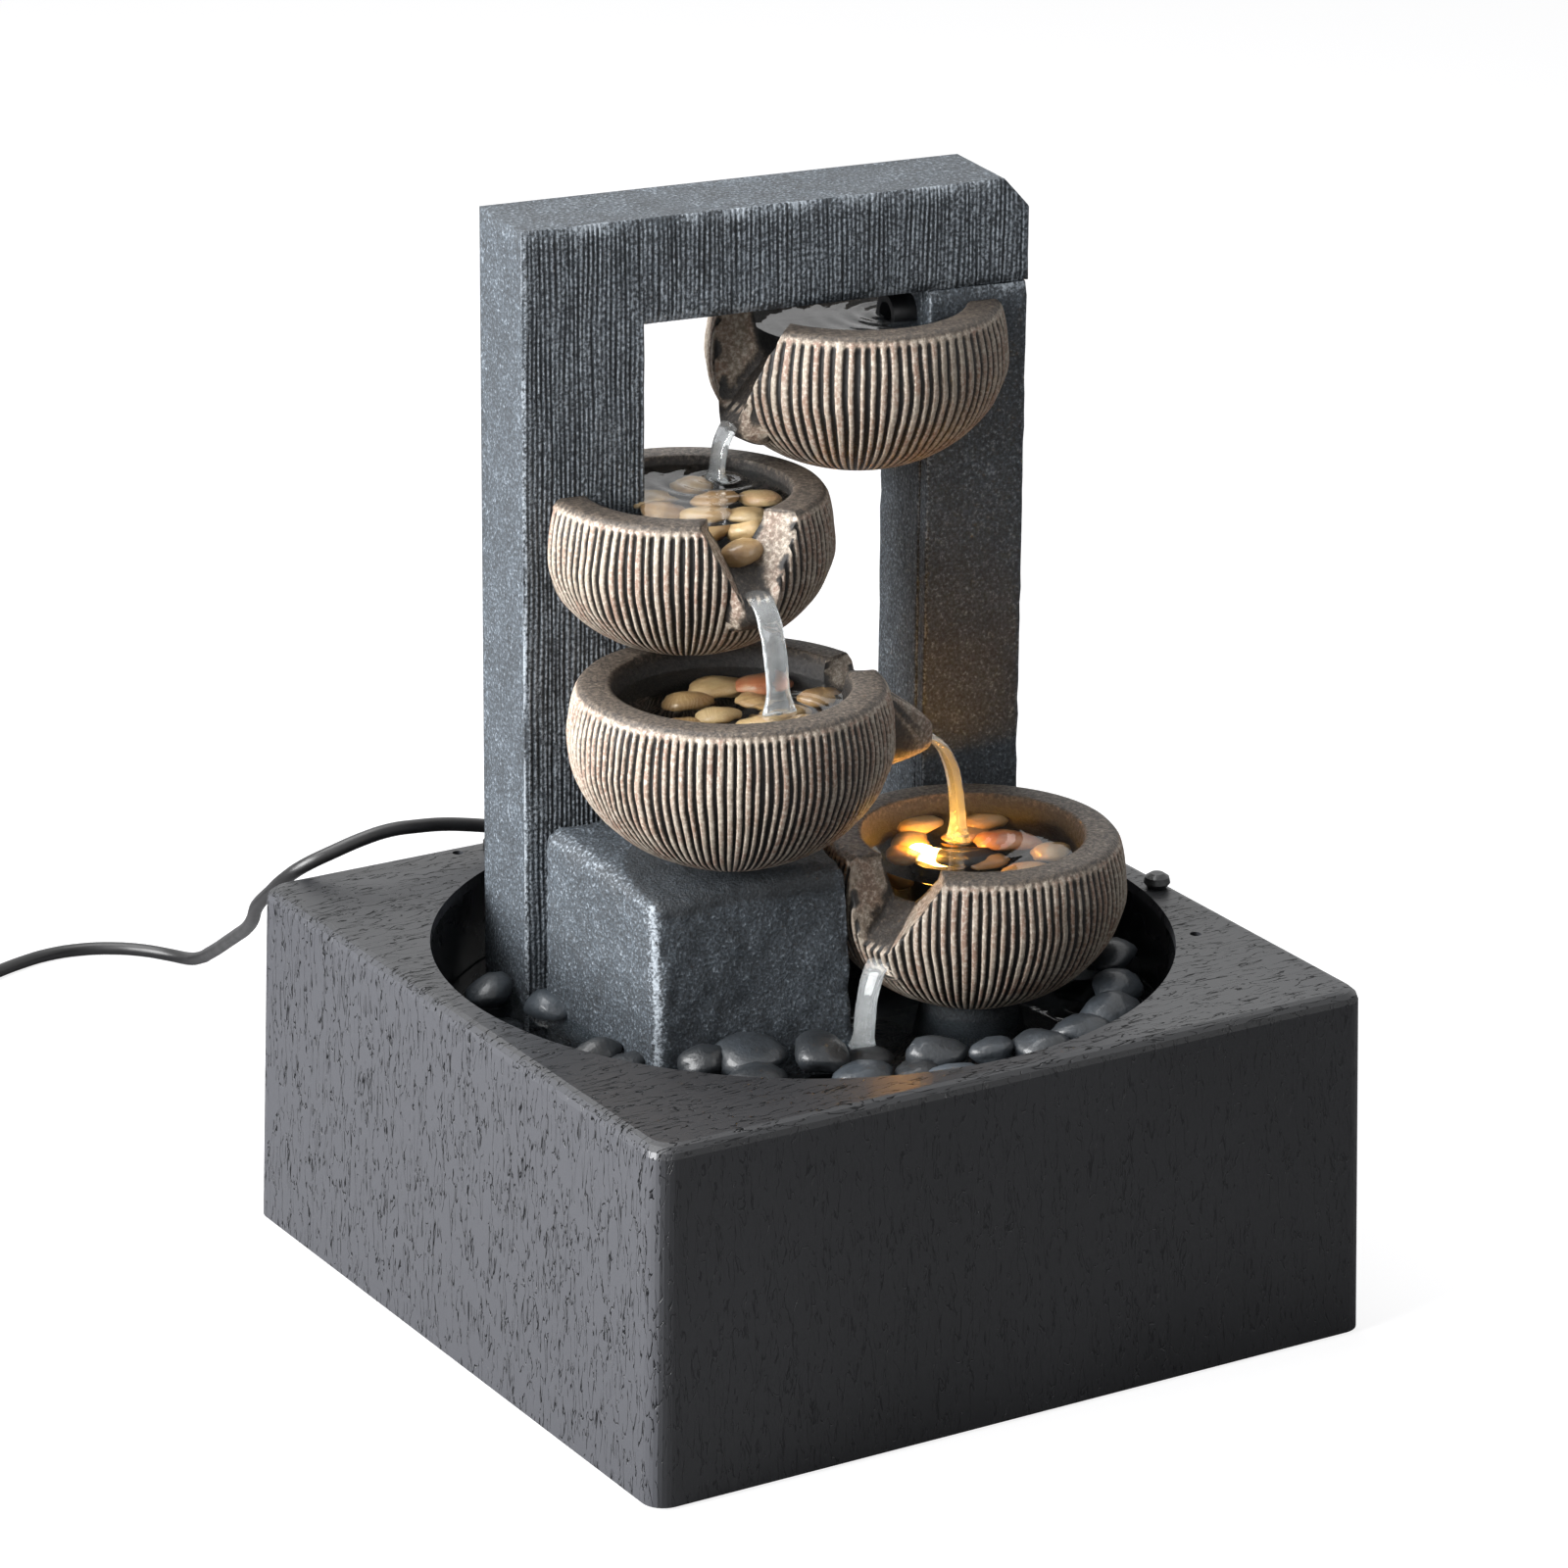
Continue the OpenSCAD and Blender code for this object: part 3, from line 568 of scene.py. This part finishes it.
def ribHeight(plan, angle, drop, widths):
    # 0 in a groove, 1 on a rib
    s = bowlStyle
    if drop < s["bandBelowRim"]:
        return 1.0
    wander = 0.35 * noise.noise(Vector((math.cos(angle) * 3, math.sin(angle) * 3, drop * 0.06)))
    place = (angle / (2 * math.pi) % 1) * plan["ribs"] + wander
    rib = int(place) % plan["ribs"]
    across = place % 1
    groove = widths[rib]
    fromGroove = min(across, 1 - across) * 2
    edge = min(1, max(0, (fromGroove - groove) / 0.22))
    fade = min(1, (drop - s["bandBelowRim"]) / 1.5)
    crown = 0.82 + 0.18 * math.sin(math.pi * across)
    return 1 - fade * (1 - edge * crown)


def chuteCutter(plan):
    # wedge that opens the notch: narrow inside the bowl, wide and deep outside it
    bm = bmesh.new()
    inner, outer, above = 21, max(plan["lip"], plan["wide"]) + 1.5, 4
    left, right = plan["notch"]
    corners = [(inner, left * 0.2, above), (inner, right * 0.2, above), (inner, 3, -6), (inner, -3, -6),
               (outer, left, above), (outer, right, above), (outer, 4, -plan["drop"]),
               (outer, -4, -plan["drop"])]
    for corner in corners:
        bm.verts.new(corner)
    bmesh.ops.convex_hull(bm, input=bm.verts)
    bmesh.ops.triangulate(bm, faces=bm.faces)
    bmesh.ops.subdivide_edges(bm, edges=bm.edges, cuts=15, use_grid_fill=True)
    for vert in bm.verts:
        vert.co.y += 0.5 * noise.noise(vert.co * 0.25)
        vert.co.z += 0.4 * noise.noise(vert.co * 0.3 + Vector((9, 0, 0)))
    bmesh.ops.recalc_face_normals(bm, faces=bm.faces)
    return bm


def spoutBlock(plan):
    # solid beak under the notch, from the wall out to the lip
    bm = bmesh.new()
    wide, lip, drop = plan["wide"], plan["lip"], plan["drop"]
    lipTop = -drop - 2 + min(9, drop)
    corners = [(wide - 12, -12, -drop + 2), (wide - 12, 12, -drop + 2), (wide - 8, -12, -1),
               (wide - 8, 12, -1),
               (wide - 10, -5, -drop - 6), (wide - 10, 5, -drop - 6), (wide - 6, -5, -drop - 6),
               (wide - 6, 5, -drop - 6), (lip, -5.5, -drop - 2), (lip, 5.5, -drop - 2), (lip, -5.5, lipTop),
               (lip, 5.5, lipTop)]
    for corner in corners:
        bm.verts.new(corner)
    bmesh.ops.convex_hull(bm, input=bm.verts)
    bmesh.ops.recalc_face_normals(bm, faces=bm.faces)
    bmesh.ops.bevel(bm, geom=bm.edges, offset=1.6, offset_type="OFFSET", segments=3, profile=0.5,
                    affect="EDGES", material=-1)
    return bm


def setRaised(mesh, values):
    layer = mesh.attributes.new("raised", "FLOAT", "POINT")
    layer.data.foreach_set("value", values)


def makeBowl(node, plan):
    s = bowlStyle
    rng = random.Random(node)
    widths = [rng.uniform(0.2, 0.46) for _ in range(plan["ribs"])]
    rimRadius = plan["wide"] - s["rimStep"]
    insideRadius = rimRadius - s["rimWide"]
    profile = [(0, -plan["height"])]
    drops = [plan["height"], plan["height"] - 0.6]
    drops += [plan["height"] - 1.6 - (plan["height"] - 3.6) * i / 26 for i in range(27)]
    profile += [(outerRadius(plan, drop), -drop) for drop in drops]
    profile += [(rimRadius - 0.2, -0.8), (rimRadius - 0.8, -0.2), (rimRadius - 1.6, 0)]
    profile += [(insideRadius + 1.4, 0), (insideRadius + 0.5, -0.3)]
    cavityAngles = [math.radians(8 + 82 * i / 10) for i in range(11)]
    profile += [(insideRadius * math.cos(a), -s["cavity"] * math.sin(a)) for a in cavityAngles]
    bm = bmesh.new()
    previous = None
    for radius, z in profile:
        vert = bm.verts.new((max(radius, 0.0), 0, z))
        if previous:
            bm.edges.new((previous, vert))
        previous = vert
    bmesh.ops.spin(bm, geom=bm.verts[:] + bm.edges[:], cent=(0, 0, 0), axis=(0, 0, 1), dvec=(0, 0, 0),
                   angle=2 * math.pi, steps=plan["ribs"] * s["stepsPerRib"], use_merge=True,
                   use_duplicate=False)
    bmesh.ops.remove_doubles(bm, verts=bm.verts, dist=1e-4)
    bmesh.ops.recalc_face_normals(bm, faces=bm.faces)
    for vert in bm.verts:
        drop = -vert.co.z
        radius = vert.co.xy.length
        if radius < 1 or drop < s["bandBelowRim"] or abs(radius - outerRadius(plan, drop)) > 0.3:
            continue
        if drop > plan["height"] - 0.3:
            continue
        angle = math.atan2(vert.co.y, vert.co.x)
        high = ribHeight(plan, angle, drop, widths)
        depth = s["grooveDepth"] * (1 - high) * (0.35 + 0.65 * radius / plan["wide"])
        lump = 0.35 * noise.noise(vert.co * 0.14)
        vert.co.xy *= (radius - depth + lump) / radius
    cutters = []
    spin = Matrix.Rotation(math.radians(plan["angle"]), 4, "Z")
    block, chute = spoutBlock(plan), chuteCutter(plan)
    for cutter, mode in ((block, "UNION"), (chute, "DIFFERENCE")):
        bmesh.ops.transform(cutter, matrix=spin, verts=cutter.verts)
        cutters.append((mode, cutter))
    foot = footCentre(node)
    origin = Vector((foot.x, foot.y, foot.z)) * 1000 + Vector((0, 0, plan["height"]))
    if plan["cut"]:
        for column in ("arch_slab", "right_column"):
            low, high = turnedBox(column)
            if column == "arch_slab":
                high = Vector((low.x + leftColumnWide * mm, high.y, high.z))
            else:
                low = Vector((low.x, low.y - coverThick * mm, low.z))
            cutters.append(("DIFFERENCE", boxCutter(low * 1000 - origin, high * 1000 - origin)))
    mesh = bakedMesh(bm, node, cutters)
    raised = []
    for vert in mesh.vertices:
        drop = -vert.co.z
        radius = vert.co.xy.length
        skin = outerRadius(plan, max(0, drop))
        if drop < 0.9 or radius < skin - 1.7 or radius > skin + 0.6:
            along = spin.transposed() @ vert.co
            onRamp = along.x > 17 and abs(along.y) < 4.6 and drop > 3
            onCheek = radius > insideRadius + 0.3 and drop > 0.9
            raised.append(0.4 if onRamp else 0.78 if onCheek else 0.5 if drop < 0.9 else 0.16)
        else:
            raised.append(ribHeight(plan, math.atan2(vert.co.y, vert.co.x), drop, widths))
    setRaised(mesh, raised)
    mesh.transform(Matrix.Scale(mm, 4) @ Matrix.Translation(origin))
    mesh.transform(turnMatrix)
    return dressPiece(mesh, node + "_ribbed", bowlResin, "tower", [node])


for nodeName, plan in bowlPlans.items():
    makeBowl(nodeName, plan)
    print(nodeName, "ready")

# the pieces below are built in millimetres, in the tower's turned frame
inTower = turnMatrix @ Matrix.Scale(mm, 4)
basin = {"footRadius": 94, "footTop": 96}


def finishPiece(bm, name, material, body, nodes=()):
    bmesh.ops.recalc_face_normals(bm, faces=bm.faces)
    bmesh.ops.transform(bm, matrix=inTower, verts=bm.verts)
    mesh = bpy.data.meshes.new(name)
    bm.to_mesh(mesh)
    bm.free()
    return dressPiece(mesh, name, material, body, nodes)


def boxOf(node):
    low, high = turnedBox(node)
    return low / mm, high / mm


def keepInWell(bm):
    # below the deck the tower is cut back to the well's round
    for vert in bm.verts:
        out = vert.co.xy.length
        if vert.co.z < basin["footTop"] and out > basin["footRadius"]:
            vert.co.xy *= basin["footRadius"] / out


# arch: a cast slab with sawn grooves down its front
slabPlan = {"pitch": 1.3, "depth": 0.7, "step": 0.325, "rowStep": 4.2, "chamfer": 7.5}


def grooveAt(x, z):
    # 0 on a ridge, 1 in a groove, with each groove's own depth and wander
    s = slabPlan
    place = x / s["pitch"] + 0.6 * noise.noise(Vector((x * 0.21, 0, z * 0.03)))
    line = math.floor(place)
    share = 0.2 + 1.7 * abs(noise.noise(Vector((line * 1.7, 4.1, z * 0.035))))
    across = abs(place - line - 0.5) * 2
    return min(1, share) * max(0, 1 - across * 1.6)


def makeSlab(plan):
    low, high = boxOf("arch_slab")
    beamZ = boxOf("right_column")[1].z
    innerX = low.x + leftColumnWide
    wide, tall = high.x - low.x, high.z - low.z
    bm = bmesh.new()
    raised = bm.verts.layers.float.new("raised")
    bmesh.ops.create_grid(bm, x_segments=round(wide / plan["step"]), y_segments=round(tall / plan["rowStep"]),
                          size=1)
    for vert in bm.verts:
        x = low.x + (vert.co.x + 1) / 2 * wide
        z = low.z + (vert.co.y + 1) / 2 * tall
        x = innerX if abs(x - innerX) < plan["step"] * 0.52 else x
        z = beamZ if abs(z - beamZ) < plan["rowStep"] * 0.52 else z
        vert.co = (x, low.y, z)
    opening = [f for f in bm.faces if f.calc_center_median().x > innerX and f.calc_center_median().z < beamZ]
    bmesh.ops.delete(bm, geom=opening, context="FACES")
    made = bmesh.ops.extrude_face_region(bm, geom=bm.faces[:], use_keep_orig=True)["geom"]
    back = {v for v in made if isinstance(v, bmesh.types.BMVert)}
    for vert in back:
        vert.co.y = high.y
    across = [e for e in bm.edges if abs(e.verts[0].co.y - e.verts[1].co.y) > 1]
    bmesh.ops.subdivide_edges(bm, edges=across, cuts=16, use_grid_fill=True)
    for vert in bm.verts:
        co = vert.co
        fromInner = abs(co.x - innerX) if co.z < beamZ + 0.1 else 9
        fromBeam = abs(co.z - beamZ) if co.x > innerX - 0.1 else 9
        edge = min(co.x - low.x, high.x - co.x, high.z - co.z, fromInner, fromBeam)
        onFront = co.y < low.y + 0.1
        onBack = co.y > high.y - 0.1
        wear = noise.noise(Vector((co.x * 0.12, co.y * 0.2, co.z * 0.12)))
        if onFront:
            groove = grooveAt(co.x, co.z) * min(1, 0.6 + edge / 10)
            vert[raised] = 0.78 - groove * 0.95
            co.y += groove * plan["depth"] + 0.25 * (wear + 0.5)
            if edge < 0.5:
                co.y += 0.5
                vert[raised] = 0.75 + 0.5 * wear
        elif onBack:
            vert[raised] = 0.5
            co.y -= 0.5 if edge < 0.5 else 0.3 * (wear + 0.5)
        else:
            vert[raised] = 0.5
            inward = 0.25 * max(0, wear + 0.6)
            co.x += inward if co.x - low.x < 0.2 else 0
            co.x -= inward if high.x - co.x < 0.2 or (abs(co.x - innerX) < 0.2 and co.z < beamZ - 0.2) else 0
            co.z += inward if abs(co.z - beamZ) < 0.2 and co.x > innerX + 0.2 else 0
            co.z -= inward if high.z - co.z < 0.2 else 0
    corner = Vector((high.x - plan["chamfer"], 0, high.z))
    slope = Vector((math.cos(math.radians(42)), 0, math.sin(math.radians(42))))
    cut = bmesh.ops.bisect_plane(bm, geom=bm.verts[:] + bm.edges[:] + bm.faces[:], plane_co=corner,
                                 plane_no=slope, clear_outer=True)["geom_cut"]
    bmesh.ops.contextual_create(bm, geom=[e for e in cut if isinstance(e, bmesh.types.BMEdge)])
    keepInWell(bm)
    return finishPiece(bm, "arch_grooved", slateResin, "tower", ["arch_slab"])


def roughBlock(bm, low, high, radius, amount, cuts):
    # block with worn edges: a gridded cube wrapped onto a rounded box, then roughened
    raised = bm.verts.layers.float.get("raised") or bm.verts.layers.float.new("raised")
    cube = bmesh.ops.create_cube(bm, size=1)["verts"]
    edges = {e for v in cube for e in v.link_edges}
    bmesh.ops.subdivide_edges(bm, edges=list(edges), cuts=cuts, use_grid_fill=True)
    size = high - low
    for vert in bm.verts:
        co = vert.co
        point = low + Vector((co[i] + 0.5) * size[i] for i in range(3))
        core = Vector(min(max(point[i], low[i] + radius), high[i] - radius) for i in range(3))
        out = (point - core).normalized()
        wear = noise.noise(point * 0.3) + 0.5 * noise.noise(point * 0.9)
        edge = 1 - max(abs(c) for c in out)
        vert.co = core + out * (radius - amount * (wear + 0.8))
        vert[raised] = 0.5 + min(0.4, edge * 2.4) * (0.6 + wear)
    return raised


def makeColumns():
    for node, radius in (("right_column", 0.9), ("column_cover", 1.1)):
        low, high = boxOf(node)
        bm = bmesh.new()
        roughBlock(bm, low, high, radius, 0.28, 44)
        keepInWell(bm)
        finishPiece(bm, node + "_cast", slateResin, "tower", [node])


def makePlinth():
    low, high = boxOf("plinth")
    bowl = footCentre("bowl_three") / mm
    stand = footCentre("bowl_four") / mm
    bm = bmesh.new()
    raised = roughBlock(bm, low, high, 5, 0.5, 40)
    middle = (low + high) / 2
    for vert in bm.verts:
        co = vert.co
        up = (co.z - low.z) / (high.z - low.z)
        front = min(1, max(0, (high.y - co.y) / (high.y - low.y)))
        side = (co.x - middle.x) / (high.x - low.x) * 2
        point = co.copy()
        co.x -= 1.6 * (1 - up) * (1 if side > 0 else 0.4) * abs(side)
        co.x += max(0, -side) * (9.5 * front ** 1.2 + 2 * math.sin(math.pi * front) * (1 - up))
        co.y += front * 5 * up ** 2 - front * 2.5 * (side > 0) * side
        if up > 0.8:
            co.z -= 7 * front ** 2 * max(0, (up - 0.8) / 0.2) * (0.4 + 0.6 * max(0, -side))
        lump = 0.8 * noise.noise(point * 0.06) + 0.4 * noise.noise(point * 0.2)
        co.y += lump * min(1, front * 3)
        # painted shade: under bowl three the top is sunk into a dish and its cover set near nothing, so it is
        # drawn dark
        fromFoot = (co.xy - bowl.xy).length
        if up > 0.9 and fromFoot < 27:
            co.z = min(co.z, bowl.z + 0.6)
            vert[raised] = 0.05
        # painted highlight: the front-left ridge gets a narrow line of full cover, drawn light as if lit; the
        # other worn edges are held to a lower cover
        ridge = math.hypot(point.x - low.x - 2, point.y - low.y - 2) * 2
        vert[raised] = 0.98 - ridge * 0.1 if ridge < 3 else min(vert[raised], 0.6)
        away = co.xy - stand.xy
        if away.length < 41.6 and co.z > stand.z - 3:
            co.xy = stand.xy + away.normalized() * 41.6
    keepInWell(bm)
    finishPiece(bm, "plinth_rock", slateResin, "tower", ["plinth"])


makeSlab(slabPlan)
makeColumns()
makePlinth()
print("arch, columns and plinth ready")


# river pebbles: (x, y, top z, half length, turn in degrees, tone 0 to 1)
basinStones = [(-67.8, 51.1, 75, 8.5, 60, 0.6), (-56, 37.5, 74, 8, 100, 0.8),
               (-36.3, -18.5, 76, 7.5, 20, 0.3), (-26.3, -22.4, 78, 8.5, -30, 0.5),
               (-28.2, -33.4, 75, 8, 10, 0.4), (-9.6, -31.4, 79, 8.5, 70, 0.3),
               (-2.3, -42.8, 75, 8, 15, 0.7), (12, -45, 74, 7, 60, 0.2), (18.1, -41.9, 78, 7.5, 10, 0.5),
               (19.1, -52.7, 75, 7.5, 0, 0.9), (31.5, -47.7, 78, 6, 15, 0.6), (44.4, -51.7, 79, 7.5, 10, 0.5),
               (38.5, -59.5, 76, 8, 0, 1.0), (57.6, -48.3, 80, 8.5, 0, 0.5), (68.1, -42, 82, 9, 30, 0.6),
               (77.4, -30.4, 83, 8.5, 40, 0.8), (83.2, -14.9, 85, 7, 60, 0.6), (-56, 4.8, 72, 6.5, 0, 0.2),
               (-50.4, -3.1, 71, 7, 30, 0.3), (6, -28, 72, 7, 0, 0.2), (57, -62, 77, 8, 30, 0.4),
               (72, -55, 78, 7.5, 60, 0.3), (-45, -27, 72, 8, 30, 0.3), (-12, -50, 72, 8, 0, 0.3),
               (8, -62, 70, 8.5, 40, 0.4), (28, -67, 71, 8.5, 100, 0.5), (84, 2, 79, 7.5, 80, 0.4),
               (-43, -42, 70, 8, 70, 0.3), (-64, -10, 69, 8, 20, 0.2), (-26, -62, 68, 8.5, 60, 0.4)]
# bowl stones: (x, y, top z, half length, turn, tone)
bowlStones = {
    "pebbles_two": [(-9, 37, 205.2, 7.5, 30, 0.3), (-7, 22.5, 204, 7, 80, 0.55),
                    (-16, 27, 204.5, 8, 20, 0.45),
                    (-13, 12.5, 201, 6.5, 20, 0.35), (-25, 34, 204.4, 8, 60, 0.2), (-24, 46, 203, 8, 0, 0.5),
                    (-9, 53, 203, 7, 60, 0.4), (2, 34, 203.6, 6.5, 100, 0.7), (-27, 22, 202.5, 6, 0, 0.6)],
    "pebbles_three": [(-14.6, 22, 158.6, 8.5, 10, 0.45), (-26, 15.5, 157.8, 8, 20, 0.35),
                      (-24.5, 1, 158.6, 6.5, 20, 0.6), (-17, -10, 160, 7, -10, 0.62),
                      (-3.5, 18, 160.4, 8.5, 20, 0.98), (-11, 8, 158, 6, 80, 0.3),
                      (6, 4, 159, 7, 50, 0.25), (-36, -2, 157.5, 7, 40, 0.3), (-7, -14, 158.4, 7, 30, 0.4),
                      (-30, -13, 157.6, 6.5, 60, 0.5), (-8, -2, 157, 7, 0, 0.4)],
    "pebbles_four": [(44, 22, 113.4, 7.5, 10, 0.62), (37.5, 14, 111, 7.5, 60, 0.5),
                     (62, 18, 113, 7.5, 10, 0.45),
                     (60.5, 3, 112.6, 9, -25, 0.97), (31, 5, 110.4, 7, 80, 0.25), (53, 12, 110, 7, 0, 0.3),
                     (68, -8, 110.6, 7, 50, 0.4), (56, -18, 109.6, 7.5, 0, 0.3), (50, -6, 108, 6, 0, 0.2)]}


def addPebble(bm, place, half, turn, tone, rng):
    # water-worn oval: an icosphere squashed, then dented by slow noise
    layer = bm.verts.layers.float.get("tone") or bm.verts.layers.float.new("tone")
    shape = Vector((half, half * rng.uniform(0.7, 0.85), half * rng.uniform(0.46, 0.6)))
    seed = Vector(rng.uniform(0, 50) for _ in range(3))
    spin = Matrix.Rotation(math.radians(turn), 3, "Z") @ Matrix.Rotation(rng.uniform(-0.25, 0.25), 3, "X")
    top = Vector(place) - Vector((0, 0, shape.z))
    for vert in bmesh.ops.create_icosphere(bm, subdivisions=3, radius=1)["verts"]:
        dent = 1 + 0.26 * noise.noise(vert.co * 0.9 + seed) + 0.09 * noise.noise(vert.co * 2.4 + seed)
        vert.co = spin @ Vector(c * s * dent for c, s in zip(vert.co, shape)) + top
        vert[layer] = tone


def makeBasinStones():
    rng = random.Random(31)
    bm = bmesh.new()
    for x, y, top, half, turn, tone in basinStones:
        addPebble(bm, (x, y, top + 1), half * 1.08, turn, tone, rng)
    ringStones = 26  # low ones, along the wall
    for k in range(ringStones):
        angle = math.radians(150 + 260 * k / (ringStones - 1))
        reach = 82 + 6 * (k % 2)
        addPebble(bm, (reach * math.cos(angle), reach * math.sin(angle), 62 + 3 * (k % 3)), 8, 37 * k,
                  rng.random() * 0.6, rng)
    finishPiece(bm, "basin_stones", darkStone, "base", ["basin_pebbles"])


def makeBowlStones():
    for node, stones in bowlStones.items():
        rng = random.Random(node)
        bm = bmesh.new()
        for x, y, top, half, turn, tone in stones:
            addPebble(bm, (x, y, top), half, turn, tone, rng)
        finishPiece(bm, node + "_worn", tanStone, "tower", [node])


makeBasinStones()
makeBowlStones()
print("stones ready")


# water: still surfaces in the well and bowls, and the four falls
# surfaces: centre and radius in the turned frame, level, body
waterSurfaces = {"well_water": ((0, 0), 96.6, 70, "base"), "water_two": ("bowl_two", 27.4, 206, "tower"),
                 "water_three": ("bowl_three", 30.2, 161, "tower"),
                 "water_four": ("bowl_four", 28.6, 113.4, "tower"),
                 "water_one": ("bowl_one", 28.2, 243, "tower")}


def ripple(x, y, rings):
    # rings: (centre x, centre y, height mm) of each fall's ripples
    total = 0.12 * noise.noise(Vector((x * 0.09, y * 0.09, 2)))
    for ringX, ringY, height in rings:
        away = math.hypot(x - ringX, y - ringY)
        total += height * math.sin(away * 1.15) * math.exp(-away / 11)
        total += height * 1.6 * math.exp(-(away / 3.2) ** 2)
    return total


# falls: turned-frame points down the middle of each, half width and half thickness along it
falls = {
    "fall_one": {"points": [(9, 51.5, 222), (4, 50.7, 221.6), (0.6, 50, 219.4), (-1.6, 49.6, 215.5),
                            (-2.6, 49.4, 210.5), (-3, 49.3, 206)],
                 "wide": (4.6, 3.2), "thick": (0.9, 1.7), "turn": 188.5},
    "fall_two": {"points": [(-12.6, 4.5, 189.3), (-12.3, 0.6, 188.4), (-12, -2.6, 185.6), (-11.7, -5.4, 180),
                            (-11.5, -7.4, 172), (-11.4, -8.8, 161)],
                 "wide": (3.6, 3.3), "thick": (0.8, 1.7), "turn": 274.5},
    "fall_three": {"points": [(32, 5.1, 144.6), (38, 5.5, 143.4), (42.6, 5.8, 139.6), (45.6, 6, 133),
                              (47.2, 6.1, 124), (47.8, 6.1, 113.4)],
                   "wide": (3.4, 3.2), "thick": (0.8, 1.8), "turn": 3.5},
    "fall_four": {"points": [(18, -16.6, 94.2), (13.8, -18.4, 93.2), (11, -19.6, 90.2), (9, -20.5, 84.5),
                             (8, -21, 77), (7.6, -21.2, 70)],
                  "wide": (3.8, 3.3), "thick": (0.9, 1.8), "turn": 203.5}}
landings = {"water_two": [(-3, 49.3, 0.5)], "water_three": [(-11.4, -8.8, 0.45)],
            "water_four": [(47.8, 6.1, 0.5)], "well_water": [(7.6, -21.2, 0.55)],
            "water_one": [(52, 56, 0.4)]}


def makeSurfaces():
    for name, (place, radius, level, body) in waterSurfaces.items():
        centre = footCentre(place) / mm if isinstance(place, str) else Vector((*place, 0))
        bm = bmesh.new()
        bmesh.ops.create_circle(bm, segments=72, radius=0.6, cap_ends=True)
        for step in range(1, 30):
            outer = [e for e in bm.edges if e.is_boundary]
            made = bmesh.ops.extrude_edge_only(bm, edges=outer)["geom"]
            ring = [v for v in made if isinstance(v, bmesh.types.BMVert)]
            reach = radius * step / 29
            for vert in ring:
                vert.co.xy = vert.co.xy.normalized() * reach
        for vert in bm.verts:
            vert.co.xy += centre.xy
            vert.co.z = level + ripple(vert.co.x, vert.co.y, landings[name])
        finishPiece(bm, name, stillWater, body)


def makeFall(name, plan):
    bm = bmesh.new()
    turn = math.radians(plan["turn"])
    sideways = Vector((-math.sin(turn), math.cos(turn), 0))
    points = [Vector(p) for p in plan["points"]]
    path = []
    for a, b in zip(points, points[1:]):
        path += [a.lerp(b, k / 4) for k in range(4)]
    path.append(points[-1])
    for _ in range(2):
        path = path[:1] + [(p + q * 2 + r) / 4 for p, q, r in zip(path, path[1:], path[2:])] + path[-1:]
    ring = bmesh.ops.create_circle(bm, segments=20, radius=1, cap_ends=True)["verts"]
    unit = [v.co.copy() for v in ring]
    for count, place in enumerate(path):
        share = count / (len(path) - 1)
        ahead = (path[min(count + 1, len(path) - 1)] - path[max(count - 1, 0)]).normalized()
        normal = sideways.cross(ahead).normalized()
        half = plan["wide"][0] + (plan["wide"][1] - plan["wide"][0]) * min(1, share * 1.6)
        deep = plan["thick"][0] + (plan["thick"][1] - plan["thick"][0]) * share
        half += 0.25 * noise.noise(Vector((share * 7, 3, plan["turn"])))
        flare = 1 + 0.5 * max(0, share - 0.92) / 0.08
        if count:
            edges = list({e for v in ring for e in v.link_edges if all(w in ring for w in e.verts)})
            made = bmesh.ops.extrude_edge_only(bm, edges=edges)["geom"]
            link = {e.other_vert(v): v for v in ring for e in v.link_edges if e.other_vert(v) in made}
            follow = {old: new for new, old in link.items()}
            ring = [follow[v] for v in ring]
        for vert, base in zip(ring, unit):
            strand = 1 + 0.12 * math.sin(base.x * 9 + share * 5)
            vert.co = place + (sideways * base.x * half + normal * base.y * deep * strand) * flare
    bmesh.ops.contextual_create(bm, geom=ring)
    finishPiece(bm, name, fallingWater, "tower")


makeSurfaces()
for fallName, fallPlan in falls.items():
    makeFall(fallName, fallPlan)
print("water ready")

# bowl light: a lit dome half under a dark cap, seen through the water
bowlLight = {"dome": ((38.5, 2.5, 104.2), (6.2, 6.2, 3.4)), "cap": ((46.5, -1, 105.6), (9.5, 7.5, 3.6)),
             "glow": (36, 5, 110.5), "power": 0.07}


def makeBowlLight(plan):
    for name, finish, key, nodes in (("led_dome", lensMaterial, "dome", ["led_lens"]),
                                     ("led_cap", pumpAbs, "cap", [])):
        place, shape = plan[key]
        bm = bmesh.new()
        bmesh.ops.create_uvsphere(bm, u_segments=40, v_segments=20, radius=1)
        for vert in bm.verts:
            vert.co = Vector(place) + Vector(c * s for c, s in zip(vert.co, shape))
        finishPiece(bm, name, finish, "tower", nodes)
    data = bpy.data.lights.new("bowlGlow", "POINT")
    data.energy = plan["power"]
    data.color = toLinear("#ffb347")[:3]
    data.shadow_soft_size = 4 * mm
    light = bpy.data.objects.new("bowlGlow", data)
    light.location = turnMatrix @ (Vector(plan["glow"]) * mm)
    bpy.context.scene.collection.objects.link(light)
    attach(light, "tower")


makeBowlLight(bowlLight)
print("bowl light ready")
